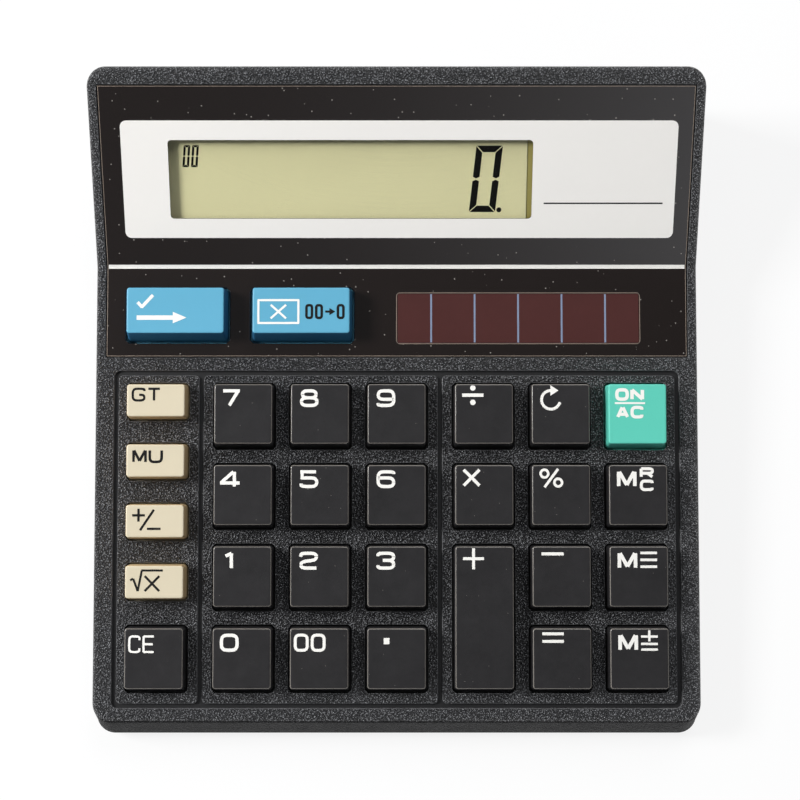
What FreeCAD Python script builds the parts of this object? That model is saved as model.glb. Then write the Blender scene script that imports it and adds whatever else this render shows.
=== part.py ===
import FreeCAD, Part
import os

import Sketcher
from FreeCAD import Placement, Rotation, Vector

# Desk calculator with a raised display wedge, in millimetres.
# +X is to the user's right, +Y to the back and +Z up. The origin is on the table, under the middle
# of the case. The keypad deck and the display meet at one fold line. Places on either plane are given
# as a reach from that fold and a depth below the plane's surface.

DIMENSIONS = [
    ("case_width", 143.0, "overall width of the case"),
    ("deck_run", 107.3, "fold to front crease, along the deck"),
    ("display_run", 48.2, "fold to rear top edge, along the display"),
    ("deck_slope", 2.3, "fall of the deck to the front, degrees"),
    ("display_slope", 26.0, "rise of the display to the back, degrees"),
    ("crease_height", 11.8, "front crease above the table"),
    ("front_draft", 21.5, "lean of the front wall, degrees"),
    ("parting_height", 4.0, "joint of the two shells above the table"),
    ("corner_radius", 4.5, "upright corners of the case"),
    ("edge_radius", 1.3, "rounding along the top edges"),
    ("wall", 2.0, "side, front and rear walls"),
    ("skin", 2.2, "deck and display walls"),
    ("foot_reveal", 0.9, "gap under the case that the feet leave"),
    ("floor", 2.0, "thickness of the case floor"),
    ("base_bevel", 0.8, "bevel round the case floor"),
    ("groove_width", 1.2, "moulded groove round the key fields"),
    ("groove_depth", 0.8, "depth of that groove"),
    ("groove_corner", 1.6, "corner radius of the key fields"),
    ("field_width", 134.1, "width over the outer groove"),
    ("field_back", 24.7, "fold to the outer groove's rear line"),
    ("field_front", 104.2, "fold to the outer groove's front line"),
    ("plate_width", 138.0, "overlay width"),
    ("plate_front", 21.4, "fold to the overlay's front edge"),
    ("plate_back", 43.3, "fold to the overlay's rear edge"),
    ("plate_thickness", 0.8, "overlay thickness"),
    ("plate_sink", 0.1, "overlay surface below the case surface"),
    ("plate_gap", 0.25, "gap round the overlay"),
    ("window_left", 53.3, "display window's left edge, left of centre"),
    ("window_width", 85.1, "display window width"),
    ("window_reach", 11.85, "fold to the display window's lower edge"),
    ("window_height", 18.75, "display window height along the slope"),
    ("window_corner", 0.6, "corners cut off the windows"),
    ("pane_overlap", 0.6, "clear pane beyond the window on each side"),
    ("pane_gap", 0.1, "gap round the clear pane"),
    ("film_thickness", 0.2, "display front film"),
    ("film_short", 1.8, "right edge of the film short of the pane's edge"),
    ("glass_side", 3.0, "display glass beyond the window at its sides and top"),
    ("glass_ledge", 5.0, "display glass beyond the window at its lower edge"),
    ("glass_thickness", 2.2, "display glass"),
    ("zebra_width", 2.4, "rubber connector width"),
    ("zebra_height", 1.5, "rubber connector height"),
    ("lcd_ear", 7.0, "display board beyond the glass at each side"),
    ("cell_left", 0.05, "solar window's left edge, right of centre"),
    ("cell_width", 57.7, "solar window width"),
    ("cell_reach", 6.2, "fold to the solar window's rear edge"),
    ("cell_length", 12.0, "solar window length along the deck"),
    ("cell_gap", 0.15, "gap round the solar cell in its window"),
    ("cell_thickness", 0.7, "solar cell"),
    ("column_pitch", 18.0, "key columns"),
    ("row_pitch", 19.0, "key rows"),
    ("first_row", 35.6, "fold to the middle of the first row of openings"),
    ("number_left", 36.0, "first number column, left of centre"),
    ("function_left", 20.5, "first function column, right of centre"),
    ("side_column", 56.5, "low keys' column, left of centre"),
    ("low_pitch", 14.15, "low keys along their column"),
    ("key_hole_width", 15.0, "opening of a standard key"),
    ("key_hole_length", 16.0, "opening of a standard key along the deck"),
    ("hole_corner", 0.8, "corners cut off the openings"),
    ("key_gap", 0.35, "gap between a key and its opening"),
    ("key_top_width", 13.6, "top face of a standard key"),
    ("key_top_length", 14.0, "top face of a standard key along the deck"),
    ("key_top_shift", 0.35, "top face nearer the back than the foot"),
    ("key_height", 4.3, "standard key above the deck"),
    ("key_bevel", 0.5, "bevel along a key's edges"),
    ("low_hole_length", 9.15, "opening of a low key along the deck"),
    ("low_top_length", 7.6, "top face of a low key along the deck"),
    ("low_top_shift", 0.1, "low key's top face nearer the back"),
    ("wide_row", 11.55, "fold to the middle of the wide keys' openings"),
    ("wide_hole_width", 24.7, "opening of a wide key"),
    ("wide_hole_length", 13.3, "opening of a wide key along the deck"),
    ("wide_top_width", 22.9, "top face of a wide key"),
    ("wide_top_length", 10.8, "top face of a wide key along the deck"),
    ("wide_top_shift", 0.65, "wide key's top face nearer the back"),
    ("wide_height", 5.0, "wide key above the deck"),
    ("check_left", 52.05, "first wide key, left of centre"),
    ("correct_left", 22.45, "second wide key, left of centre"),
    ("key_travel", 1.6, "key stroke"),
    ("key_play", 0.1, "flange below the deck's underside"),
    ("flange_thickness", 0.8, "key flange"),
    ("flange_lip", 0.8, "key flange beyond its opening"),
    ("key_wall", 1.2, "key wall and roof"),
    ("plunger_width", 3.6, "square plunger under a key"),
    ("mat_clearance", 0.2, "flange above the rubber sheet at full stroke"),
    ("mat_thickness", 0.8, "rubber sheet"),
    ("dome_gap", 0.05, "plunger above its dome at rest"),
    ("dome_foot", 7.0, "rubber spring's width at the sheet"),
    ("dome_head", 4.4, "rubber spring's width under the plunger"),
    ("board_thickness", 1.2, "circuit boards"),
    ("board_width", 124.0, "main board width"),
    ("board_back", 3.6, "fold to the main board's rear edge"),
    ("board_front", 101.6, "fold to the main board's front edge"),
    ("board_boss", 3.2, "boss for a small screw"),
    ("boss_clear", 0.3, "clearance round a boss"),
    ("small_shank", 1.8, "small screw shank diameter"),
    ("small_head", 3.6, "small screw head diameter"),
    ("small_head_height", 1.1, "small screw head"),
    ("small_bite", 2.6, "small screw in its boss"),
    ("case_boss", 4.4, "boss for a case screw"),
    ("case_post", 6.6, "post round a case screw"),
    ("case_boss_end", 6.0, "end of the case bosses above the table"),
    ("case_screw_side", 65.8, "case screws, left and right of centre"),
    ("case_screw_front", 103.7, "fold to the front case screws"),
    ("case_screw_middle", 23.0, "fold to the middle case screws"),
    ("case_screw_rear", 5.9, "rear case screws, inside the rear face"),
    ("case_shank", 2.5, "case screw shank diameter"),
    ("case_head", 4.6, "case screw head diameter"),
    ("case_head_height", 1.5, "case screw head"),
    ("case_bite", 2.8, "case screw in its boss"),
    ("counterbore", 5.2, "recess for a case screw head"),
    ("counterbore_depth", 2.4, "depth of that recess"),
    ("pilot_gap", 0.1, "clearance round a screw shank"),
    ("boss_root", 1.2, "boss sunk into the wall that carries it"),
    ("blob_diameter", 13.0, "potted controller on the main board"),
    ("blob_height", 1.8, "height of the potted controller"),
    ("blob_reach", 60.0, "fold to the potted controller"),
    ("can_diameter", 5.0, "board capacitor"),
    ("can_height", 1.9, "board capacitor below the board"),
    ("can_spacing", 14.0, "between the two capacitors"),
    ("can_reach", 23.0, "fold to the capacitors"),
    ("ribbon_width", 22.0, "flat cable to the display board"),
    ("ribbon_thickness", 0.4, "flat cable"),
    ("ribbon_grip", 4.0, "flat cable soldered along each board"),
    ("wire_diameter", 1.1, "hook-up wire"),
    ("solar_wire_spread", 6.0, "between the two solar wires"),
    ("battery_diameter", 14.2, "round cell"),
    ("battery_length", 49.0, "round cell without its nub"),
    ("nub_diameter", 5.4, "cell's positive nub"),
    ("nub_length", 1.2, "cell's positive nub"),
    ("battery_inset", 12.4, "cell axis inside the rear face"),
    ("battery_lift", 0.5, "cell above the door"),
    ("bay_clear", 0.5, "bay round the cell"),
    ("bay_wall", 1.3, "wall of the battery bay"),
    ("contact_thickness", 0.5, "contact strip"),
    ("contact_width", 9.0, "contact strip width"),
    ("contact_height", 10.0, "contact strip height"),
    ("tab_width", 2.4, "solder tab of a contact"),
    ("tab_reach", 1.4, "solder tab outside the bay"),
    ("tab_gap", 0.15, "gap round a tab in the bay's end wall"),
    ("lead_reach", 9.0, "fold to the battery wires' ends under the board"),
    ("leaf_depth", 4.2, "sprung leaf of the negative contact"),
    ("door_thickness", 1.6, "battery door"),
    ("door_border", 4.0, "door beyond the bay on each side"),
    ("door_undercut", 1.4, "dovetail of the door's side edges"),
    ("door_gap", 0.2, "running gap round the door"),
    ("door_travel", 24.0, "door stroke to the back"),
    ("grip_count", 4, "ribs on the door's thumb grip"),
    ("grip_pitch", 2.2, "between the thumb ribs"),
    ("grip_depth", 0.4, "grooves between the thumb ribs"),
    ("grip_width", 20.0, "thumb grip width"),
    ("foot_diameter", 9.0, "rubber foot"),
    ("foot_seat", 0.7, "foot let into the floor"),
    ("foot_gap", 0.15, "gap round a foot in its seat"),
    ("foot_inset", 14.0, "feet inside the case outline"),
]

# Places that follow from the driving sizes.
LAYOUT = [
    ("half_bend", "=(Dims.display_slope - Dims.deck_slope) / 2", "half the angle of the fold"),
    ("mean_slope", "=(Dims.display_slope + Dims.deck_slope) / 2", "slope of the fold's bisector"),
    ("front_rise", "=Dims.crease_height - Dims.parting_height", "height of the front wall"),
    ("front_lean", "=front_rise * tan(Dims.front_draft)", "reach of the front wall"),
    ("deck_plan", "=Dims.deck_run * cos(Dims.deck_slope)", "deck seen from above"),
    ("display_plan", "=Dims.display_run * cos(Dims.display_slope)", "display seen from above"),
    ("case_length", "=front_lean + deck_plan + display_plan", "overall length"),
    ("back_y", "=case_length / 2", "rear face"),
    ("front_y", "=-case_length / 2", "front face at the parting line"),
    ("fold_y", "=back_y - display_plan", "fold line"),
    ("fold_z", "=Dims.crease_height + Dims.deck_run * sin(Dims.deck_slope)", "fold line"),
    ("floor_top", "=Dims.foot_reveal + Dims.floor", "inside of the case floor"),
    ("recess_depth", "=Dims.plate_sink + Dims.plate_thickness", "overlay's seat"),
    ("flange_top", "=Dims.skin + Dims.key_play", "key flange below the deck"),
    ("flange_foot", "=flange_top + Dims.flange_thickness", "underside of a key"),
    ("mat_top", "=flange_foot + Dims.key_travel + Dims.mat_clearance", "rubber sheet below the deck"),
    ("board_top", "=mat_top + Dims.mat_thickness", "main board below the deck"),
    ("board_foot", "=board_top + Dims.board_thickness", "underside of the main board"),
    ("left_divider", "=-(Dims.side_column + Dims.number_left) / 2", "groove between the first two fields"),
    ("number_right", "=2 * Dims.column_pitch - Dims.number_left", "last number column"),
    ("right_divider", "=(number_right + Dims.function_left) / 2", "groove between the last two fields"),
    ("low_row", "=Dims.first_row + (Dims.low_hole_length - Dims.key_hole_length) / 2", "first low key"),
    ("field_side", "=Dims.field_width / 2", "outer groove"),
    ("window_right", "=Dims.window_width - Dims.window_left", "display window's right edge"),
    ("window_top", "=Dims.window_reach + Dims.window_height", "display window's upper edge"),
    ("glass_top", "=Dims.skin", "display glass below the display surface"),
    ("glass_foot", "=glass_top + Dims.glass_thickness", "underside of the display glass"),
    ("lcd_board_top", "=glass_foot + Dims.zebra_height", "display board below the display surface"),
    ("lcd_board_foot", "=lcd_board_top + Dims.board_thickness", "underside of the display board"),
    ("glass_left", "=-Dims.window_left - Dims.glass_side", "display glass"),
    ("glass_right", "=window_right + Dims.glass_side", "display glass"),
    ("glass_low", "=Dims.window_reach - Dims.glass_ledge", "display glass along the slope"),
    ("glass_high", "=window_top + Dims.glass_side", "display glass along the slope"),
    ("battery_y", "=back_y - Dims.battery_inset", "cell axis"),
    ("door_top", "=Dims.foot_reveal + Dims.door_thickness", "inside of the battery door"),
    ("battery_z", "=door_top + Dims.battery_lift + Dims.battery_diameter / 2", "cell axis"),
    ("bay_radius", "=Dims.battery_diameter / 2 + Dims.bay_clear", "bay round the cell"),
    ("cell_span", "=Dims.battery_length + Dims.nub_length", "cell with its nub"),
    ("bay_length", "=cell_span + Dims.leaf_depth + 2 * Dims.contact_thickness", "bay between its end walls"),
    ("bay_half", "=bay_length / 2", "bay from the middle to an end wall"),
    ("door_front", "=battery_y - bay_radius - Dims.door_border", "door's inner edge"),
    ("door_half", "=bay_half + Dims.door_border", "door's inside half width"),
    ("screw_seat", "=Dims.foot_reveal + Dims.counterbore_depth", "case screw head's seat"),
    ("foot_side", "=Dims.case_width / 2 - Dims.foot_inset", "feet left and right of centre"),
    ("foot_front", "=front_y + Dims.foot_inset", "front feet"),
    ("foot_rear", "=back_y - Dims.foot_inset", "rear feet"),
]

FLAT_TOLERANCE = 1e-6
FULL_TURN = 360
SCREW_FACES = 8

doc = FreeCAD.newDocument("DeskCalculator")
pieces = []


def fill_sheet(name, rows):
    """Writes one value per row, with its meaning beside it and an alias for expressions."""
    sheet = doc.addObject("Spreadsheet::Sheet", name)
    for line, (alias, content, meaning) in enumerate(rows, start=1):
        sheet.set(f"A{line}", meaning)
        sheet.set(f"B{line}", str(content))
        sheet.setAlias(f"B{line}", alias)
    doc.recompute()
    return sheet


dims = fill_sheet("Dims", DIMENSIONS)
layout = fill_sheet("Layout", LAYOUT)


def number(expression):
    """Value that an expression has now."""
    value = dims.evalExpression(str(expression))
    return float(getattr(value, "Value", value))


def keep(piece, label):
    """Names a finished sub-part and puts it on the list to be written."""
    piece.Label = label
    pieces.append(piece)
    return piece


def deck_spot(reach, depth):
    """Side-view Y and Z on the deck, a reach in front of the fold and a depth below the surface."""
    return (f"Layout.fold_y - ({reach}) * cos(Dims.deck_slope) + ({depth}) * sin(Dims.deck_slope)",
            f"Layout.fold_z - ({reach}) * sin(Dims.deck_slope) - ({depth}) * cos(Dims.deck_slope)")


def display_spot(reach, depth):
    """Side-view Y and Z on the display, a reach behind the fold and a depth below the surface."""
    return (f"Layout.fold_y + ({reach}) * cos(Dims.display_slope) + ({depth}) * sin(Dims.display_slope)",
            f"Layout.fold_z + ({reach}) * sin(Dims.display_slope) - ({depth}) * cos(Dims.display_slope)")


def fold_spot(depth):
    """Side-view Y and Z where both planes, sunk by the same depth, meet."""
    return (f"Layout.fold_y + ({depth}) * sin(Layout.mean_slope) / cos(Layout.half_bend)",
            f"Layout.fold_z - ({depth}) * cos(Layout.mean_slope) / cos(Layout.half_bend)")


def place(piece, x, spot, slope="0", prefix="Placement"):
    """Binds a placement: X, then a side-view spot, turned about X by a slope."""
    setattr(piece, prefix, Placement(Vector(), Rotation(Vector(1, 0, 0), number(slope) or 1.0)))
    for axis, expression in zip("xyz", (x, *spot)):
        piece.setExpression(f"{prefix}.Base.{axis}", expression)
    piece.setExpression(f"{prefix}.Rotation.Angle", slope)


def attach(body, piece, role):
    """Puts a sketch or primitive on one of the body's own origin planes."""
    plane = next(feature for feature in body.Origin.OriginFeatures if feature.Role == role)
    piece.AttachmentSupport = [(plane, "")]
    piece.MapMode = "FlatFace"


def sketch_in(body, name, role):
    """Sketch on one of the body's own origin planes."""
    sketch = body.newObject("Sketcher::SketchObject", name)
    attach(body, sketch, role)
    return sketch


def side_sketch(body, name):
    """Sketch of the side view, with Y across and Z up."""
    return sketch_in(body, name, "YZ_Plane")


def flat_sketch(body, name, height="0"):
    """Level sketch at a height."""
    sketch = sketch_in(body, name, "XY_Plane")
    sketch.setExpression("AttachmentOffset.Base.z", height)
    return sketch


def deck_sketch(body, name, depth="0"):
    """Sketch on the deck, X across and Y to the back from the fold."""
    sketch = sketch_in(body, name, "XY_Plane")
    place(sketch, "0", deck_spot("0", depth), "Dims.deck_slope", "AttachmentOffset")
    return sketch


def display_sketch(body, name, depth="0"):
    """Sketch on the display, X across and Y to the back from the fold."""
    sketch = sketch_in(body, name, "XY_Plane")
    place(sketch, "0", display_spot("0", depth), "Dims.display_slope", "AttachmentOffset")
    return sketch


def hold(sketch, *dimensions):
    """Adds and binds dimensions, each given as its kind, its references and its expression."""
    first = sketch.ConstraintCount
    sketch.addConstraint([Sketcher.Constraint(*kind, number(expression)) for *kind, expression in dimensions])
    for index, (*kind, expression) in enumerate(dimensions, start=first):
        sketch.setExpression(f"Constraints[{index}]", expression)


def point_dimensions(geometry, end, spot):
    """Distances of a sketch point from the origin."""
    return [("DistanceX", -1, 1, geometry, end, spot[0]), ("DistanceY", -1, 1, geometry, end, spot[1])]


def polygon(sketch, spots):
    """Closed outline of straight lines through bound corners."""
    corners = [Vector(number(x), number(y), 0) for x, y in spots]
    dimensions = []
    first = sketch.GeometryCount
    lines = range(first, first + len(corners))
    following = [*lines[1:], first]
    sketch.addGeometry([Part.LineSegment(*ends) for ends in zip(corners, corners[1:] + corners[:1])])
    sketch.addConstraint([Sketcher.Constraint("Coincident", line, 2, after, 1)
                          for line, after in zip(lines, following)])
    for line, spot in zip(lines, spots):
        dimensions += point_dimensions(line, 1, spot)
    hold(sketch, *dimensions)
    return sketch


def circle(sketch, spot, diameter):
    """Circle with a bound centre and diameter."""
    centre = Vector(number(spot[0]), number(spot[1]), 0)
    index = sketch.addGeometry(Part.Circle(centre, Vector(0, 0, 1), number(diameter) / 2))
    hold(sketch, ("Diameter", index, diameter), *point_dimensions(index, 3, spot))
    return sketch


def rectangle(sketch, low, high):
    """Plain rectangle between two bound corners."""
    return polygon(sketch, [low, (high[0], low[1]), high, (low[0], high[1])])


def rounded_rectangle(sketch, low, high, radius):
    """Rectangle between two bound corners, with equal round corners."""
    left, right = number(low[0]), number(high[0])
    bottom, top = number(low[1]), number(high[1])
    bend = number(radius)
    first = sketch.GeometryCount
    runs = [((left + bend, bottom), (right - bend, bottom)), ((right, bottom + bend), (right, top - bend)),
            ((right - bend, top), (left + bend, top)), ((left, top - bend), (left, bottom + bend))]
    for start, end in runs:
        sketch.addGeometry(Part.LineSegment(Vector(*start, 0), Vector(*end, 0)))
    centres = [(right - bend, bottom + bend), (right - bend, top - bend),
               (left + bend, top - bend), (left + bend, bottom + bend)]
    quarter = FreeCAD.Units.parseQuantity("90 deg").getValueAs("rad").Value
    for turn, centre in enumerate(centres, start=-1):
        ring = Part.Circle(Vector(*centre, 0), Vector(0, 0, 1), bend)
        sketch.addGeometry(Part.ArcOfCircle(ring, turn * quarter, (turn + 1) * quarter))
    lines = range(first, first + len(runs))
    arcs = range(lines.stop, lines.stop + len(runs))
    shape = []
    courses = ("Horizontal", "Vertical") * 2
    for line, arc, following, course in zip(lines, arcs, [*lines[1:], first], courses):
        shape.append(Sketcher.Constraint("Tangent", line, 2, arc, 1))
        shape.append(Sketcher.Constraint("Tangent", arc, 2, following, 1))
        shape.append(Sketcher.Constraint(course, line))
    shape += [Sketcher.Constraint("Equal", arcs[0], arc) for arc in arcs[1:]]
    sketch.addConstraint(shape)
    front, right_side, rear, left_side = lines
    hold(sketch, ("Radius", arcs[0], radius), ("DistanceY", -1, 1, front, 1, low[1]),
         ("DistanceX", -1, 1, right_side, 1, high[0]), ("DistanceY", -1, 1, rear, 1, high[1]),
         ("DistanceX", -1, 1, left_side, 1, low[0]))
    return sketch


def bevelled_rectangle(sketch, low, high, bevel):
    """Rectangle between two bound corners, with its corners cut off at 45 degrees."""
    (left, bottom), (right, top) = low, high
    near_left, near_right = f"{left} + {bevel}", f"{right} - ({bevel})"
    near_bottom, near_top = f"{bottom} + {bevel}", f"{top} - ({bevel})"
    front = [(near_left, bottom), (near_right, bottom), (right, near_bottom), (right, near_top)]
    return polygon(sketch, front + [(near_right, top), (near_left, top), (left, near_top), (left, near_bottom)])


def facet_circle(sketch, spot, diameter):
    """Small round hole or post as a regular polygon."""
    turns = [FULL_TURN * index / SCREW_FACES for index in range(SCREW_FACES)]
    return polygon(sketch, [(f"({spot[0]}) + ({diameter}) / 2 * cos({turn})",
                             f"({spot[1]}) + ({diameter}) / 2 * sin({turn})") for turn in turns])


def centred(x, y, width, length):
    """Two corners of a rectangle about a middle."""
    return ((f"({x}) - ({width}) / 2", f"({y}) - ({length}) / 2"),
            (f"({x}) + ({width}) / 2", f"({y}) + ({length}) / 2"))


def feature(body, kind, name, sketch, length, symmetric=False, reverse=False):
    """Pad or pocket of a bound length. A reversed pocket cuts upwards, a reversed pad grows downwards."""
    made = body.newObject(f"PartDesign::{kind}", name)
    made.Profile = sketch
    made.setExpression("Length", length)
    made.SideType = "Symmetric" if symmetric else "One side"
    made.Reversed = reverse
    body.Tip = made
    return made


def soften(body, kind, name, size, chosen):
    """Fillet or chamfer of the tip's edges that a test picks."""
    base = body.Tip
    made = body.newObject(f"PartDesign::{kind}", name)
    picked = [f"Edge{count}" for count, edge in enumerate(base.Shape.Edges, start=1) if chosen(edge)]
    made.Base = (base, picked)
    made.setExpression("Radius" if kind == "Fillet" else "Size", size)
    body.Tip = made
    return made


def new_body(label):
    """Empty body for one sub-part."""
    return keep(doc.addObject("PartDesign::Body", label), label)


def block(name, sizes, x, spot, slope):
    """Box with its lowest corner at a side-view spot."""
    box = doc.addObject("Part::Box", name)
    for side, expression in zip(("Length", "Width", "Height"), sizes):
        box.setExpression(side, expression)
    place(box, x, spot, slope)
    return box


def deck_block(name, x_low, x_high, reach_back, reach_front, depth, thickness):
    """Box that lies along the deck, its top at a depth."""
    sizes = (f"({x_high}) - ({x_low})", f"({reach_front}) - ({reach_back})", thickness)
    spot = deck_spot(reach_front, f"({depth}) + ({thickness})")
    return block(name, sizes, x_low, spot, "Dims.deck_slope")


def display_block(name, x_low, x_high, reach_low, reach_high, depth, thickness):
    """Box that lies along the display, its top at a depth."""
    sizes = (f"({x_high}) - ({x_low})", f"({reach_high}) - ({reach_low})", thickness)
    spot = display_spot(reach_low, f"({depth}) + ({thickness})")
    return block(name, sizes, x_low, spot, "Dims.display_slope")


def rod(name, diameter, height, x, spot, slope="0"):
    """Cylinder that stands on a side-view spot."""
    cylinder = doc.addObject("Part::Cylinder", name)
    cylinder.setExpression("Radius", f"({diameter}) / 2")
    cylinder.setExpression("Height", height)
    place(cylinder, x, spot, slope)
    return cylinder


def prism(name, diameter, height, x, spot, slope="0"):
    """Small rod as a regular prism that stands on a side-view spot."""
    bar = doc.addObject("Part::Prism", name)
    bar.Polygon = SCREW_FACES
    bar.setExpression("Circumradius", f"({diameter}) / 2")
    bar.setExpression("Height", height)
    place(bar, x, spot, slope)
    return bar


def joined(name, shapes):
    """Union of several objects."""
    union = doc.addObject("Part::MultiFuse", name)
    union.Shapes = shapes
    return union


def cut(name, base, tool):
    """One object less another."""
    rest = doc.addObject("Part::Cut", name)
    rest.Base = base
    rest.Tool = tool
    return rest


def group(label, shapes):
    """Identical pieces that share one node."""
    bundle = doc.addObject("Part::Compound", label)
    bundle.Links = shapes
    return keep(bundle, label)


# Keys: the size of each kind, then the place of each key.
STANDARD = {"hole_width": "Dims.key_hole_width", "hole_length": "Dims.key_hole_length",
            "top_width": "Dims.key_top_width", "top_length": "Dims.key_top_length",
            "shift": "Dims.key_top_shift", "height": "Dims.key_height"}
TALL = {**STANDARD, "hole_length": "Dims.key_hole_length + Dims.row_pitch",
        "top_length": "Dims.key_top_length + Dims.row_pitch"}
LOW = {**STANDARD, "hole_length": "Dims.low_hole_length", "top_length": "Dims.low_top_length",
       "shift": "Dims.low_top_shift"}
WIDE = {"hole_width": "Dims.wide_hole_width", "hole_length": "Dims.wide_hole_length",
        "top_width": "Dims.wide_top_width", "top_length": "Dims.wide_top_length",
        "shift": "Dims.wide_top_shift", "height": "Dims.wide_height"}

NUMBER_KEYS = [("7", "8", "9"), ("4", "5", "6"), ("1", "2", "3"), ("0", "00", "point")]
FUNCTION_KEYS = [("divide", "replay", "on_clear"), ("multiply", "percent", "memory_recall"),
                 (None, "minus", "memory_minus"), (None, "equals", "memory_plus")]
LOW_KEYS = ["grand_total", "mark_up", "sign_change", "square_root"]
LAST_ROW = len(NUMBER_KEYS) - 1


def row_reach(row):
    """Reach of a standard row's middle."""
    return f"Dims.first_row + {row} * Dims.row_pitch"


def list_keys():
    """Every key as its name, kind, X and reach."""
    listed = []
    for row, names in enumerate(NUMBER_KEYS):
        for column, name in enumerate(names):
            x = f"{column} * Dims.column_pitch - Dims.number_left"
            listed.append((name, STANDARD, x, row_reach(row)))
    for row, names in enumerate(FUNCTION_KEYS):
        for column, name in enumerate(names):
            x = f"{column} * Dims.column_pitch + Dims.function_left"
            if name:
                listed.append((name, STANDARD, x, row_reach(row)))
    listed.append(("plus", TALL, "Dims.function_left", row_reach(LAST_ROW - 1 / 2)))
    for index, name in enumerate(LOW_KEYS):
        listed.append((name, LOW, "-Dims.side_column", f"Layout.low_row + {index} * Dims.low_pitch"))
    listed.append(("clear_entry", STANDARD, "-Dims.side_column", row_reach(LAST_ROW)))
    listed.append(("check", WIDE, "-Dims.check_left", "Dims.wide_row"))
    listed.append(("correct", WIDE, "-Dims.correct_left", "Dims.wide_row"))
    return listed


KEYS = list_keys()
WIDE_KEYS = [key for key in KEYS if key[1] is WIDE]


def key_hole(body, key):
    """Opening for one key, cut through the deck."""
    name, kind, x, reach = key
    sketch = deck_sketch(body, f"opening_{name}")
    corners = centred(x, f"-({reach})", kind["hole_width"], kind["hole_length"])
    bevelled_rectangle(sketch, *corners, "Dims.hole_corner")
    feature(body, "Pocket", f"cut_{name}", sketch, "Dims.skin")


# Screws: side-view spots and sides.
BOARD_SCREWS = [(x, f"Dims.first_row + ({row} + 1 / 2) * Dims.row_pitch")
                for x in ("Layout.left_divider", "Layout.right_divider") for row in range(LAST_ROW)]
LCD_SCREW_SIDES = ("Layout.glass_left - Dims.lcd_ear / 2", "Layout.glass_right + Dims.lcd_ear / 2")
LCD_SCREW_ROWS = ("Layout.glass_low + Dims.lcd_ear / 2", "Layout.glass_high - Dims.lcd_ear / 2")
LCD_SCREWS = [(x, reach) for x in LCD_SCREW_SIDES for reach in LCD_SCREW_ROWS]
CASE_SCREW_SIDES = ("-Dims.case_screw_side", "Dims.case_screw_side")
CASE_SCREW_ROWS = {
    "front": (deck_spot("Dims.case_screw_front", "0")[0], "Dims.case_screw_front"),
    "middle": (deck_spot("Dims.case_screw_middle", "0")[0], "Dims.case_screw_middle"),
    "rear": ("Layout.back_y - Dims.case_screw_rear", None),
}
CASE_SCREWS = [(x, y) for x in CASE_SCREW_SIDES for y, reach in CASE_SCREW_ROWS.values()]


def wall_underside(y, reach):
    """Height of the case wall's inside over a case screw."""
    if reach:
        return f"{deck_spot(reach, 'Dims.skin')[1]}"
    rise = f"Layout.fold_z + (({y}) - Layout.fold_y) * tan(Dims.display_slope)"
    return f"{rise} - Dims.skin / cos(Dims.display_slope)"


def upright(edge):
    """Edge at a corner of the case, seen from above."""
    half = number("Dims.case_width") / 2
    sides = [abs(abs(vertex.X) - half) < FLAT_TOLERANCE for vertex in edge.Vertexes]
    heights = [vertex.Z for vertex in edge.Vertexes]
    depths = [abs(vertex.Y) for vertex in edge.Vertexes]
    near_end = min(depths) > abs(number("Layout.fold_y")) + number("Dims.corner_radius")
    return all(sides) and near_end and max(heights) - min(heights) > number("Dims.edge_radius")


def top_rim(edge):
    """Edge round the top of the case, above the parting line and not on the fold."""
    heights = [vertex.Z for vertex in edge.Vertexes]
    middle = edge.valueAt((edge.FirstParameter + edge.LastParameter) / 2)
    if min(heights) < number("Dims.crease_height") - number("Dims.edge_radius"):
        return False
    inside = abs(middle.x) < number("Dims.case_width") / 2 - number("Dims.corner_radius")
    return not (inside and abs(middle.y - number("Layout.fold_y")) < number("Dims.edge_radius"))


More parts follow.
